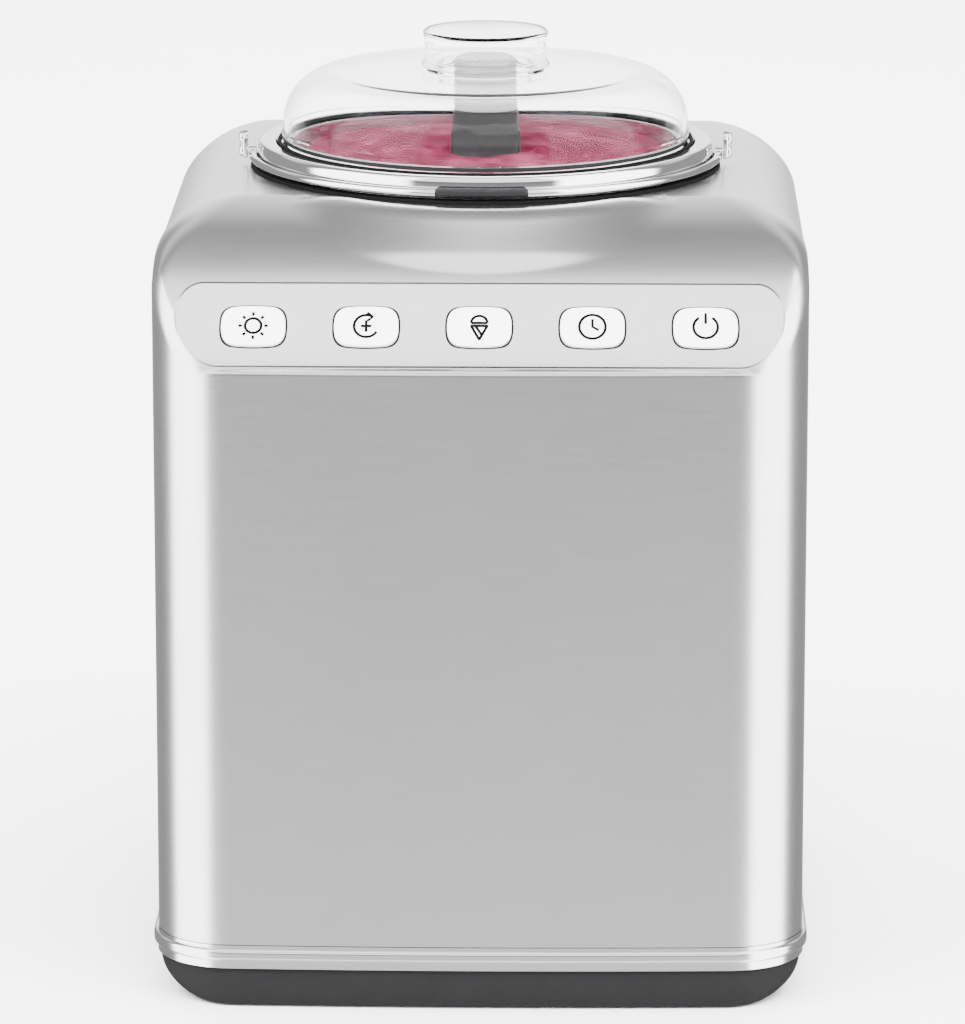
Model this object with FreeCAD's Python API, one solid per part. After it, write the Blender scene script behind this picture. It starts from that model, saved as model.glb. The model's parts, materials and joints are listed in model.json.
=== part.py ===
import FreeCAD, Part
import math
import os

# Countertop ice cream maker with its own compressor, a lift-out bowl and a bowl-driven dasher.
# Millimetres. +Z up, +X to the right, front towards -Y. The origin is on the surface that the
# machine stands on, under the middle of the case; the bowl's axis is the Z axis.

Vector = FreeCAD.Vector

# ---- driving dimensions: case ----
HALF_WIDTH = 131.0
HALF_DEPTH = 160.0
CASE_TOP = 319.0
CASE_BOTTOM = 27.0
WALL = 2.5
FRONT_CORNER = 32.0
FRONT_BULGE_RADIUS = 2450.0
REAR_CORNER_RUN = 58.6
REAR_CORNER_RISE = 92.9
REAR_CORNER_SWEEP = 30.0
SHOULDER_RUN = 37.0
SHOULDER_RISE = 24.0
SHOULDER_SWEEP = 38.0
REAR_TOP_RUN = 61.3
REAR_TOP_RISE = 47.2
REAR_TOP_SWEEP = 45.0
ARCH_RADIUS = 102.0
ARCH_END = math.radians(84.0)
LEDGE = 2.5
LEDGE_TOP = 264.0
EDGE_FILLET = 3.0
COLLAR_TOP_RADIUS = 97.6
COLLAR_FOOT_RADIUS = 130.0
COLLAR_FOOT_Z = 296.0

# ---- base ----
FOOT_HEIGHT = 3.0
FOOT_RADIUS = 11.0
FOOT_X = 92.0
FOOT_Y = 118.0
TRAY_TOP = 17.0
TRAY_INSET = 1.0
TRAY_WALL = 3.0
BEAD_BOTTOM = 17.2
BEAD_TOP = 26.8
BEAD_PROUD = 2.0
CHASSIS_BOTTOM = 22.0
CHASSIS_TOP = 24.0
STANDOFFS = [(-60.0, -100.0), (60.0, -100.0), (-50.0, 118.0), (50.0, 118.0)]

# ---- controls ----
STRIP_HALF_LENGTH = 118.5
STRIP_BOTTOM = 264.9
STRIP_TOP = 293.5
STRIP_TOP_RADIUS = 10.5
STRIP_THICKNESS = 1.2
STRIP_GAP = 0.3
BUTTON_COUNT = 5
BUTTON_PITCH = 44.7
BUTTON_Z = 279.0
BUTTON_HALF_WIDTH = 13.1
BUTTON_HALF_HEIGHT = 9.1
BUTTON_PROUD = 0.8
BUTTON_GAP = 0.35

# ---- bowl, lid and dasher ----
BOWL_RADIUS = 80.0
BOWL_WALL = 1.0
BOWL_FLOOR = 240.2
BOWL_LIP = 328.8
BOWL_BEND = 6.0
BLADE_GAP = 1.2
CHIMNEY_RADIUS = 12.0
CHIMNEY_TOP = 326.0
WELL_RADIUS = 82.2
WELL_WALL = 1.3
WELL_FLOOR = 236.8
WELL_FLANGE_RADIUS = 92.0
FLANGE_TOP = 320.2
RIM_RADIUS = 94.4
RIM_BOTTOM = 321.6
RIM_TOP = 329.5
BAIL_RADIUS = 96.8
BAIL_WIRE = 1.6
BAIL_EYE = 2.6
BAIL_Z = 323.2
LID_RADIUS = 84.5
LID_FOOT = 331.5
LID_SHOULDER = 22.0
LID_TOP = 358.3
LID_WALL = 2.2
MOUTH_RADIUS = 20.0
CAP_TOP = 375.0
CAP_FOOT = 360.1
BATCH_TOP = 322.0
HEAD_TOP = 343.5
HEAD_WIDTH = 29.0
HEAD_TAPER = 1.3
SHAFT_RADIUS = 6.0
HEX_FLATS = 10.0
SLACK = 0.4

# ---- drive and cooling ----
GEAR_MODULE = 1.25
GEAR_TEETH = 48
PINION_TEETH = 12
GEAR_AXES = GEAR_MODULE * (GEAR_TEETH + PINION_TEETH) / 2
GEARBOX_BOTTOM = 166.0
GEARBOX_TOP = 212.0
COMPRESSOR = (-68.0, 52.0)
FAN_CENTRE = (-55.0, 95.0)
FAN_RADIUS = 46.0
DRIER = (96.0, 40.0)
COIL_RADIUS = 87.8
COIL_TUBE = 3.8
COIL_BOTTOM = 250.0
COIL_TURNS = 3.5
COIL_SIDES = 8
COIL_BEND = 80.0
COIL_RISE = 42.0
RETURN_RADIUS = 99.0
FOAM_RADIUS = 108.0


# ---- small builders ----
def box(x0, x1, y0, y1, z0, z1):
    return Part.makeBox(x1 - x0, y1 - y0, z1 - z0, Vector(x0, y0, z0))


def cylinder(radius, z0, z1, x=0.0, y=0.0):
    return Part.makeCylinder(radius, z1 - z0, Vector(x, y, z0))


def rod(radius, start, end):
    start = Vector(*start)
    end = Vector(*end)
    return Part.makeCylinder(radius, (end - start).Length, start, end - start)


def ring(inner, outer, z0, z1, x=0.0, y=0.0):
    return cylinder(outer, z0, z1, x, y).cut(cylinder(inner, z0 - 1, z1 + 1, x, y))


def fused(shapes):
    return shapes[0].multiFuse(shapes[1:]).removeSplitter()


def wire(steps, plane):
    # A step is the next corner (u, v), or ((u, v), (u, v)) for an arc through the first to the second.
    edges = []
    here = plane(*steps[0])
    for step in list(steps[1:]) + [steps[0]]:
        curved = isinstance(step[0], tuple)
        end = plane(*(step[1] if curved else step))
        if (end - here).Length < 1e-6:
            continue
        if curved:
            edges.append(Part.Arc(here, plane(*step[0]), end).toShape())
        else:
            edges.append(Part.makeLine(here, end))
        here = end
    return Part.Wire(edges)


def prism(steps, plane, along):
    return Part.Face(wire(steps, plane)).extrude(along)


def turned(steps):
    # A solid of revolution about Z from an outline of (radius, z) steps.
    face = Part.Face(wire(steps, lambda r, z: Vector(r, 0, z)))
    return face.revolve(Vector(0, 0, 0), Vector(0, 0, 1), 360)


def corner_radii(run, rise, sweep):
    # Two tangent arcs turn a corner that is run wide and rise high; the first turns through sweep.
    c = math.cos(sweep)
    s = math.sin(sweep)
    second = (run * s - rise * (1 - c)) / (c * s - (1 - c) * (1 - s))
    first = (rise - second * (1 - s)) / s
    return first, second


def soft_corner(start, rise_dir, run_dir, run, rise, sweep_degrees, inset):
    sweep = math.radians(sweep_degrees)
    first, second = [r - inset for r in corner_radii(run, rise, sweep)]

    def shifted(origin, run_length, rise_length):
        return (origin[0] + run_dir[0] * run_length + rise_dir[0] * rise_length,
                origin[1] + run_dir[1] * run_length + rise_dir[1] * rise_length)

    def on_first(t):
        return shifted(start, first * (1 - math.cos(t)), first * math.sin(t))

    joint = on_first(sweep)

    def on_second(t):
        return shifted(joint, second * (math.cos(sweep) - math.cos(t)), second * (math.sin(t) - math.sin(sweep)))

    middle = (sweep + math.pi / 2) / 2
    return [(on_first(sweep / 2), joint), (on_second(middle), on_second(math.pi / 2))]


def mirrored_back(start, arcs):
    # The same corner on the other side of the middle plane, walked the other way.
    def flip(point):
        return (-point[0], point[1])

    (mid_1, joint), (mid_2, end) = arcs
    return [flip(end), (flip(mid_2), flip(joint)), (flip(mid_1), flip(start))]


def bent_tube(radius, points, bend):
    # Straight runs joined by tangent arcs of one bend radius.
    corners = [Vector(*p) for p in points]
    edges = []
    here = corners[0]
    for before, corner, after in zip(corners, corners[1:], corners[2:]):
        inward = (before - corner).normalize()
        outward = (after - corner).normalize()
        half = inward.getAngle(outward) / 2
        reach = bend / math.tan(half)
        start = corner + inward * reach
        end = corner + outward * reach
        centre = corner + (inward + outward).normalize() * (bend / math.sin(half))
        middle = centre + (corner - centre).normalize() * bend
        edges.append(Part.makeLine(here, start))
        edges.append(Part.Arc(start, middle, end).toShape())
        here = end
    edges.append(Part.makeLine(here, corners[-1]))
    profile = Part.Wire(Part.makeCircle(radius, corners[0], corners[1] - corners[0]))
    return Part.Wire(edges).makePipeShell([profile], True, False)


def hexagon(flats, z0, z1):
    across = flats / math.sqrt(3)
    corners = [(across * math.cos(math.radians(60 * i)), across * math.sin(math.radians(60 * i))) for i in range(6)]
    return prism(corners, lambda x, y: Vector(x, y, z0), Vector(0, 0, z1 - z0))


def spur_gear(teeth, z0, z1, bore, phase_degrees, backlash=0.25):
    pitch = GEAR_MODULE * teeth / 2
    base = pitch * math.cos(math.radians(20))
    tip = pitch + GEAR_MODULE
    root = pitch - 1.25 * GEAR_MODULE

    def involute(radius):
        alpha = math.acos(min(1.0, base / radius))
        return math.tan(alpha) - alpha

    half_tooth = math.pi / (2 * teeth) - backlash / (2 * pitch)
    flank = [max(base, root + 0.2) + (tip - max(base, root + 0.2)) * i / 3 for i in range(4)]
    outline = []
    for tooth in range(teeth):
        centre = math.radians(phase_degrees) + 2 * math.pi * tooth / teeth
        sides = [(r, half_tooth + involute(pitch) - involute(r)) for r in flank]
        rising = [(root, -sides[0][1])] + [(r, -a) for r, a in sides]
        falling = [(r, a) for r, a in reversed(sides)] + [(root, sides[0][1])]
        outline += [(r * math.cos(centre + a), r * math.sin(centre + a)) for r, a in rising + falling]
    blank = prism(outline, lambda x, y: Vector(x, y, z0), Vector(0, 0, z1 - z0))
    return blank.cut(cylinder(bore, z0 - 1, z1 + 1))


# ---- the case's outer form, or the same form inset all over ----
def plan_outline(inset):
    half = HALF_WIDTH - inset
    radius = FRONT_CORNER - inset
    bulge_centre = FRONT_BULGE_RADIUS - HALF_DEPTH
    bulge = FRONT_BULGE_RADIUS - inset
    cx = HALF_WIDTH - FRONT_CORNER
    reach = FRONT_BULGE_RADIUS - FRONT_CORNER
    cy = bulge_centre - math.sqrt(reach ** 2 - cx ** 2)
    lean = math.asin(cx / reach)
    tangent = (bulge * math.sin(lean), bulge_centre - bulge * math.cos(lean))
    turn = (math.pi / 2 - lean) / 2 + lean
    corner_mid = (cx + radius * math.sin(turn), cy - radius * math.cos(turn))
    rear_start = (half, HALF_DEPTH - REAR_CORNER_RISE)
    rear = soft_corner(rear_start, (0, 1), (-1, 0), REAR_CORNER_RUN, REAR_CORNER_RISE, REAR_CORNER_SWEEP, inset)
    steps = [(-tangent[0], tangent[1]), ((0, -HALF_DEPTH + inset), tangent), (corner_mid, (half, cy))]
    steps += [rear_start] + rear + mirrored_back(rear_start, rear)
    steps += [(-half, cy), ((-corner_mid[0], corner_mid[1]), (-tangent[0], tangent[1]))]
    return steps


def plan_block(inset, z0, z1):
    return prism(plan_outline(inset), lambda x, y: Vector(x, y, z0), Vector(0, 0, z1 - z0))


ARCH_Z = CASE_TOP - ARCH_RADIUS * math.sin(ARCH_END)
ARCH_START = math.asin((LEDGE_TOP - ARCH_Z) / ARCH_RADIUS)
ARCH_Y = LEDGE - HALF_DEPTH + ARCH_RADIUS * math.cos(ARCH_START)


def arch_point(angle, inset=0.0):
    radius = ARCH_RADIUS - inset
    return (ARCH_Y - radius * math.cos(angle), ARCH_Z + radius * math.sin(angle))


def side_outline(inset, z0):
    front = inset - HALF_DEPTH
    if inset == 0:
        start = ARCH_START
        knee = LEDGE * math.sqrt(0.5)
        ledge_mid = (front + LEDGE - knee, LEDGE_TOP - LEDGE + knee)
        climb = [(front, LEDGE_TOP - LEDGE), (ledge_mid, arch_point(start))]
    else:
        start = math.acos((ARCH_Y - front) / (ARCH_RADIUS - inset))
        climb = [arch_point(start, inset)]
    end = math.asin((CASE_TOP - inset - ARCH_Z) / (ARCH_RADIUS - inset))
    over = (arch_point((start + end) / 2, inset), arch_point(end, inset))
    back = (HALF_DEPTH - inset, CASE_TOP - REAR_TOP_RISE)
    rear = soft_corner(back, (0, 1), (-1, 0), REAR_TOP_RUN, REAR_TOP_RISE, REAR_TOP_SWEEP, inset)
    (mid_1, joint), (mid_2, top) = rear
    return [(front, z0)] + climb + [over, top, (mid_2, joint), (mid_1, back), (HALF_DEPTH - inset, z0)]


def front_outline(inset, z0):
    half = HALF_WIDTH - inset
    start = (half, CASE_TOP - SHOULDER_RISE)
    arcs = soft_corner(start, (0, 1), (-1, 0), SHOULDER_RUN, SHOULDER_RISE, SHOULDER_SWEEP, inset)
    return [(-half, z0), (half, z0), start] + arcs + mirrored_back(start, arcs)


def case_form(inset, z0):
    far = 2 * HALF_DEPTH
    side = prism(side_outline(inset, z0), lambda y, z: Vector(-far, y, z), Vector(2 * far, 0, 0))
    front = prism(front_outline(inset, z0), lambda x, z: Vector(x, -far, z), Vector(0, 2 * far, 0))
    return plan_block(inset, z0, CASE_TOP + 1).common(side).common(front)


def collar():
    cone = Part.makeCone(COLLAR_FOOT_RADIUS, COLLAR_TOP_RADIUS, CASE_TOP - COLLAR_FOOT_Z,
                         Vector(0, 0, COLLAR_FOOT_Z))
    return cone.common(box(-HALF_WIDTH, HALF_WIDTH, -HALF_DEPTH, 0, COLLAR_FOOT_Z, CASE_TOP))


def strip_prism(grow):
    half = STRIP_HALF_LENGTH + grow
    low = STRIP_BOTTOM - grow
    high = STRIP_TOP + grow
    top_r = STRIP_TOP_RADIUS + grow
    low_r = high - low - top_r
    k = 1 - math.sqrt(0.5)
    waist = low + low_r
    right = [(half - low_r, low), ((half - k * low_r, low + k * low_r), (half, waist)),
             ((half - k * top_r, high - k * top_r), (half - top_r, high))]
    left = [(top_r - half, high), ((k * top_r - half, high - k * top_r), (-half, waist)),
            ((k * low_r - half, low + k * low_r), (low_r - half, low))]
    steps = right + left
    return prism(steps, lambda x, z: Vector(x, -HALF_DEPTH - 5, z), Vector(0, 60, 0))


# ---- the button plane: its own right, up and outward directions ----
BUTTON_ANGLE = math.asin((BUTTON_Z - ARCH_Z) / ARCH_RADIUS)
BUTTON_Y = arch_point(BUTTON_ANGLE)[0]
OUTWARD = Vector(0, -math.cos(BUTTON_ANGLE), math.sin(BUTTON_ANGLE))
UPWARD = Vector(0, math.sin(BUTTON_ANGLE), math.cos(BUTTON_ANGLE))


def on_button_plane(x, up, depth):
    return Vector(x, BUTTON_Y, BUTTON_Z) + UPWARD * up - OUTWARD * depth


def button_centres():
    return [(i - (BUTTON_COUNT - 1) / 2) * BUTTON_PITCH for i in range(BUTTON_COUNT)]


def button_pad(x, grow, depth_0, depth_1):
    half = BUTTON_HALF_WIDTH + grow
    high = BUTTON_HALF_HEIGHT + grow
    side = half - 1.3
    top = high - 1.0
    steps = [(-side, -top), ((0, -high), (side, -top)), ((half, 0), (side, top)),
             ((0, high), (-side, top)), ((-half, 0), (-side, -top))]
    pad = prism(steps, lambda u, v: on_button_plane(x + u, v, depth_1), OUTWARD * (depth_1 - depth_0))
    upright = [e for e in pad.Edges if abs((e.Vertexes[0].Point - e.Vertexes[-1].Point).Length
                                           - (depth_1 - depth_0)) < 1e-4]
    return pad.makeFillet(4.6 + grow, upright)


def tilted_block(x, half_width, up_0, up_1, depth_0, depth_1):
    steps = [(-half_width, up_0), (half_width, up_0), (half_width, up_1), (-half_width, up_1)]
    return prism(steps, lambda u, v: on_button_plane(x + u, v, depth_1), OUTWARD * (depth_1 - depth_0))


# ---- case pieces ----
REAR_WINDOW = (66.0, 40.0, 250.0)
INLET = (-32.0, 74.0)
ROCKER = (32.0, 74.0)
LEDGE_WIDTH = 8.0


def rear_screw_places():
    half, low, high = REAR_WINDOW
    return [(side * (half - 4), z) for side in (-1, 1) for z in (low + 5, (low + high) / 2, high - 5)]


def side_vents():
    slots = []
    for side in (-1, 1):
        for i in range(14):
            y = -100 + 8.0 * i
            x0, x1 = sorted((side * (HALF_WIDTH - 6), side * (HALF_WIDTH + 3)))
            slots.append(box(x0, x1, y - 1.6, y + 1.6, 52, 128))
    return Part.makeCompound(slots)


def on_arch_side(edge):
    middle = edge.valueAt((edge.FirstParameter + edge.LastParameter) / 2)
    from_axis = math.hypot(middle.y - ARCH_Y, middle.z - ARCH_Z)
    return abs(from_axis - ARCH_RADIUS) < 0.01 and abs(middle.x) > 105 and middle.y < ARCH_Y


def body_shell():
    outer = case_form(0, CASE_BOTTOM)
    outer = outer.makeFillet(EDGE_FILLET, [e for e in outer.Edges if on_arch_side(e)])
    outer = outer.fuse(collar())
    half, low, high = REAR_WINDOW
    back = HALF_DEPTH - WALL
    ledge = box(-half - 3, half + 3, back - 4, back + 0.5, low - 3, high + 3)
    inside = half - LEDGE_WIDTH
    ledge = ledge.cut(box(-inside, inside, back - 9, back + 3, low + LEDGE_WIDTH, high - LEDGE_WIDTH))
    shell = outer.cut(case_form(WALL, CASE_BOTTOM - 5)).fuse(ledge)
    shell = shell.cut(box(-half, half, back, HALF_DEPTH + 1, low, high))
    shell = shell.cut(cylinder(86.0, CASE_TOP - 20, CASE_TOP + 5))
    recess = strip_prism(STRIP_GAP).cut(case_form(STRIP_THICKNESS + 0.1, CASE_BOTTOM))
    shell = shell.cut(recess)
    for x in button_centres():
        shell = shell.cut(button_pad(x, BUTTON_GAP, -4, 8))
    shell = shell.cut(side_vents())
    for x, z in rear_screw_places():
        shell = shell.cut(rod(1.5, (x, back - 6, z), (x, back + 1, z)))
    return shell


def rear_panel():
    half, low, high = REAR_WINDOW
    back = HALF_DEPTH - WALL
    panel = box(SLACK - half, half - SLACK, back + 0.1, HALF_DEPTH, low + SLACK, high - SLACK)
    slots = []
    for row in range(12):
        z = 128 + 9.0 * row
        for side in (-1, 1):
            slots.append(box(side * 27 - 22, side * 27 + 22, back - 2, HALF_DEPTH + 2, z - 1.7, z + 1.7))
    panel = panel.cut(Part.makeCompound(slots))
    for x, z in rear_screw_places():
        panel = panel.cut(rod(1.9, (x, back - 1, z), (x, HALF_DEPTH + 1, z)))
    panel = panel.cut(box(INLET[0] - 14, INLET[0] + 14, back - 2, HALF_DEPTH + 2, INLET[1] - 10.3, INLET[1] + 10.3))
    panel = panel.cut(box(ROCKER[0] - 10, ROCKER[0] + 10, back - 2, HALF_DEPTH + 2, ROCKER[1] - 13, ROCKER[1] + 13))
    return panel


def rear_screws():
    back = HALF_DEPTH - WALL
    screws = []
    for x, z in rear_screw_places():
        head = rod(3.2, (x, HALF_DEPTH + 0.05, z), (x, HALF_DEPTH + 1.7, z))
        head = head.cut(box(x - 2.4, x + 2.4, HALF_DEPTH + 0.9, HALF_DEPTH + 3, z - 0.4, z + 0.4))
        head = head.cut(box(x - 0.4, x + 0.4, HALF_DEPTH + 0.9, HALF_DEPTH + 3, z - 2.4, z + 2.4))
        screws.append(head.fuse(rod(1.4, (x, back - 3.5, z), (x, HALF_DEPTH + 0.2, z))))
    return Part.makeCompound(screws)


def bead_trim():
    outer = plan_block(-BEAD_PROUD, BEAD_BOTTOM + 3.2, BEAD_TOP - 1.4)
    long_edges = [e for e in outer.Edges if e.BoundBox.ZLength < 1e-6]
    outer = outer.makeFillet(1.6, long_edges)
    band = plan_block(-0.4, BEAD_BOTTOM, BEAD_TOP)
    inner = plan_block(3.0, BEAD_BOTTOM - 1, BEAD_TOP + 1)
    return outer.fuse(band).cut(inner).removeSplitter()


def base_tray():
    outer = plan_block(TRAY_INSET, FOOT_HEIGHT, TRAY_TOP)
    bottom = [e for e in outer.Edges if e.BoundBox.ZMax < FOOT_HEIGHT + 1e-6]
    outer = outer.makeFillet(4.0, bottom)
    tray = outer.cut(plan_block(TRAY_INSET + TRAY_WALL, FOOT_HEIGHT + TRAY_WALL, TRAY_TOP + 1))
    floor = FOOT_HEIGHT + TRAY_WALL
    pillars = [cylinder(6, floor - 0.5, CHASSIS_BOTTOM, x, y) for x, y in STANDOFFS]
    tray = fused([tray] + pillars)
    for x, y in STANDOFFS:
        tray = tray.cut(cylinder(2.2, 0, CHASSIS_TOP, x, y))
        tray = tray.cut(cylinder(4.8, 0, FOOT_HEIGHT + 1.7, x, y))
    slots = [box(-70, -20, y - 1.6, y + 1.6, 0, floor + 1) for y in (-60, -50, -40, -30)]
    return tray.cut(Part.makeCompound(slots))


def base_screws():
    screws = []
    for x, y in STANDOFFS:
        head = cylinder(4.2, FOOT_HEIGHT + 0.2, FOOT_HEIGHT + 1.65, x, y)
        screws.append(head.fuse(cylinder(1.9, FOOT_HEIGHT + 1.5, CHASSIS_TOP + 3, x, y)))
    return Part.makeCompound(screws)


def foot(x, y):
    pad = cylinder(FOOT_RADIUS, 0, FOOT_HEIGHT - 0.02, x, y)
    return pad.makeFillet(1.0, [e for e in pad.Edges if e.BoundBox.ZMax < 1e-6])


def chassis_plate():
    plate = plan_block(4.5, CHASSIS_BOTTOM + 0.1, CHASSIS_TOP)
    for x, y in STANDOFFS:
        plate = plate.cut(cylinder(2.0, CHASSIS_BOTTOM - 1, CHASSIS_TOP + 1, x, y))
    slots = [box(20, 90, y - 4, y + 4, CHASSIS_BOTTOM - 1, CHASSIS_TOP + 1) for y in (40, 60, 80)]
    return plate.cut(Part.makeCompound(slots))


def control_strip():
    skin = case_form(0, CASE_BOTTOM).cut(case_form(STRIP_THICKNESS, CASE_BOTTOM - 5))
    strip = skin.common(strip_prism(0))
    for x in button_centres():
        strip = strip.cut(button_pad(x, BUTTON_GAP, -4, 8))
    return strip


def button(x):
    cap = button_pad(x, 0, -BUTTON_PROUD, 4)
    crown = on_button_plane(x, 0, -BUTTON_PROUD)
    top = [e for e in cap.Edges if all(abs((v.Point - crown).dot(OUTWARD)) < 1e-4 for v in e.Vertexes)]
    cap = cap.makeFillet(0.5, top)
    flange = tilted_block(x, BUTTON_HALF_WIDTH + 1.2, -BUTTON_HALF_HEIGHT - 0.4, BUTTON_HALF_HEIGHT + 0.4, 4, 5.2)
    stem = tilted_block(x, 2.0, -2.0, 2.0, 5, 8)
    return fused([cap, flange, stem])


def button_switches():
    return Part.makeCompound([tilted_block(x, 3.0, -3.0, 3.0, 10.0, 13.1) for x in button_centres()])


def control_board():
    board = tilted_block(0, 104, -11, 10, 13.2, 14.8)
    chips = [tilted_block(x, 5, -4, 4, 14.7, 16.5) for x in (-67, -22, 22, 67)]
    return fused([board] + chips)


# ---- rear controls ----
def power_inlet():
    x, z = INLET
    back = HALF_DEPTH
    body = box(x - 13.6, x + 13.6, back - 26, back + 0.1, z - 9.9, z + 9.9)
    flange = box(x - 16, x + 16, back + 0.1, back + 1.8, z - 12.2, z + 12.2)
    flange = flange.makeFillet(3.0, [e for e in flange.Edges if e.BoundBox.YLength > 1 and e.BoundBox.XLength < 1e-6])
    socket = box(x - 12, x + 12, back - 17, back + 3, z - 8, z + 8)
    socket = socket.makeFillet(2.0, [e for e in socket.Edges if e.BoundBox.YLength > 10])
    inlet = body.fuse(flange).cut(socket)
    pins = [box(px - 1, px + 1, back - 18, back - 5, pz - 2, pz + 2)
            for px, pz in ((x - 7, z - 1.5), (x + 7, z - 1.5), (x, z + 2.5))]
    tabs = [box(px - 2.4, px + 2.4, back - 33, back - 25.5, z - 0.4, z + 0.4) for px in (x - 7, x, x + 7)]
    return fused([inlet] + pins + tabs)


def switch_frame():
    x, z = ROCKER
    back = HALF_DEPTH
    body = box(x - 9.7, x + 9.7, back - 20, back + 0.1, z - 12.7, z + 12.7)
    flange = box(x - 11.5, x + 11.5, back + 0.1, back + 1.6, z - 14.5, z + 14.5)
    cavity = box(x - 7.6, x + 7.6, back - 14, back + 4, z - 10.8, z + 10.8)
    frame = body.fuse(flange).cut(cavity)
    axle = [rod(1.2, (x + side * 6.6, back - 5, z), (x + side * 8, back - 5, z)) for side in (-1, 1)]
    tabs = [box(x - 2.4, x + 2.4, back - 27, back - 19.5, tz - 0.4, tz + 0.4) for tz in (z - 7, z + 7)]
    return fused([frame] + axle + tabs)


def rocker_switch():
    x, z = ROCKER
    face_y = HALF_DEPTH + 0.2
    steps = [(face_y - 9, z - 4), (face_y - 3, z - 9.6), (face_y + 0.6, z - 9.6),
             ((face_y - 1.2, z), (face_y + 0.6, z + 9.6)), (face_y - 3, z + 9.6), (face_y - 9, z + 4)]
    rocker = prism(steps, lambda y, h: Vector(x - 7, y, h), Vector(14, 0, 0))
    rocker.rotate(Vector(x, HALF_DEPTH - 5, z), Vector(1, 0, 0), -6)
    return rocker.cut(rod(1.25, (x - 9, HALF_DEPTH - 5, z), (x + 9, HALF_DEPTH - 5, z)))


# ---- cold well ----
def seat_ring():
    inner = WELL_FLANGE_RADIUS + SLACK
    return turned([(inner, CASE_TOP + 0.05), (COLLAR_TOP_RADIUS, CASE_TOP + 0.05),
                   (COLLAR_TOP_RADIUS, FLANGE_TOP - 0.5), (COLLAR_TOP_RADIUS - 0.5, FLANGE_TOP),
                   (inner, FLANGE_TOP)])


def well():
    outer = WELL_RADIUS + WELL_WALL
    return turned([(9.85, WELL_FLOOR - WELL_WALL), (9.85, WELL_FLOOR), (WELL_RADIUS, WELL_FLOOR),
                   (WELL_RADIUS, FLANGE_TOP), (WELL_FLANGE_RADIUS, FLANGE_TOP),
                   (WELL_FLANGE_RADIUS, CASE_TOP + 0.05),
                   (outer, CASE_TOP + 0.05), (outer, WELL_FLOOR - WELL_WALL)])


def evaporator_coil():
    top = COIL_BOTTOM + COIL_RISE
    corner_radius = COIL_RADIUS / math.cos(math.pi / COIL_SIDES)
    corners = round(COIL_TURNS * COIL_SIDES)
    route = [(COIL_RADIUS, 0, COIL_BOTTOM)]
    for n in range(corners):
        angle = (n + 0.5) * 2 * math.pi / COIL_SIDES
        level = COIL_BOTTOM + COIL_RISE * (n + 0.5) / corners
        route.append((corner_radius * math.cos(angle), corner_radius * math.sin(angle), level))
    route.append((-COIL_RADIUS, 0, top))
    pieces = [bent_tube(COIL_TUBE, route, COIL_BEND),
              Part.makeSphere(COIL_TUBE, Vector(COIL_RADIUS, 0, COIL_BOTTOM)),
              cylinder(COIL_TUBE, 210, COIL_BOTTOM, COIL_RADIUS, 0),
              Part.makeSphere(COIL_TUBE, Vector(-COIL_RADIUS, 0, top)),
              rod(COIL_TUBE, (-COIL_RADIUS, 0, top), (-RETURN_RADIUS, 0, top)),
              Part.makeSphere(COIL_TUBE, Vector(-RETURN_RADIUS, 0, top)),
              cylinder(COIL_TUBE, 210, top, -RETURN_RADIUS, 0)]
    return fused(pieces)


def insulation():
    cup = cylinder(FOAM_RADIUS, 214, CASE_TOP - WALL - 0.3).cut(cylinder(93.0, 235, CASE_TOP))
    cup = cup.common(case_form(WALL + 0.7, CASE_BOTTOM))
    gap = COIL_TUBE + SLACK
    top = COIL_BOTTOM + COIL_RISE
    for hole in (cylinder(15.0, 200, 240), cylinder(gap, 200, 240, COIL_RADIUS, 0),
                 cylinder(gap, 200, top, -RETURN_RADIUS, 0),
                 rod(gap, (-COIL_RADIUS, 0, top), (-RETURN_RADIUS, 0, top)),
                 Part.makeSphere(gap, Vector(-RETURN_RADIUS, 0, top))):
        cup = cup.cut(hole)
    return cup


def temperature_sensor():
    return rod(2.2, (-12, 86.6, 240), (12, 86.6, 240))


# ---- drive ----
def gearbox_housing():
    outer = box(-40, 62, -40, 40, GEARBOX_BOTTOM + 3.1, GEARBOX_TOP)
    outer = outer.makeFillet(10, [e for e in outer.Edges if e.BoundBox.ZLength > 10])
    cavity = box(-37, 59, -37, 37, GEARBOX_BOTTOM, GEARBOX_TOP - 4)
    cavity = cavity.makeFillet(8, [e for e in cavity.Edges if e.BoundBox.ZLength > 10])
    neck = cylinder(14, GEARBOX_TOP - 1, 233.5)
    housing = outer.cut(cavity).fuse(neck)
    housing = housing.cut(cylinder(SHAFT_RADIUS + 1, GEARBOX_TOP - 10, 240))
    return housing.cut(cylinder(11.05, 222, 240))


def gearbox_cover():
    cover = box(-40, 62, -40, 40, GEARBOX_BOTTOM, GEARBOX_BOTTOM + 3)
    cover = cover.makeFillet(10, [e for e in cover.Edges if e.BoundBox.ZLength > 1])
    cover = cover.fuse(ring(11.05, 13.5, GEARBOX_BOTTOM + 2.5, GEARBOX_BOTTOM + 8))
    return cover.cut(cylinder(10.0, GEARBOX_BOTTOM - 1, GEARBOX_BOTTOM + 5, GEAR_AXES, 0))


def bearing(z0, z1):
    return ring(SHAFT_RADIUS + 0.05, 11.0, z0, z1)


def shaft_seal():
    return ring(SHAFT_RADIUS + 0.06, 9.8, 234.0, 238.4)


def drive_shaft():
    shaft = cylinder(SHAFT_RADIUS, GEARBOX_BOTTOM + 4, CHIMNEY_TOP)
    tip = hexagon(HEX_FLATS, CHIMNEY_TOP - 0.5, HEAD_TOP - 3)
    return shaft.fuse(tip)


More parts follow.
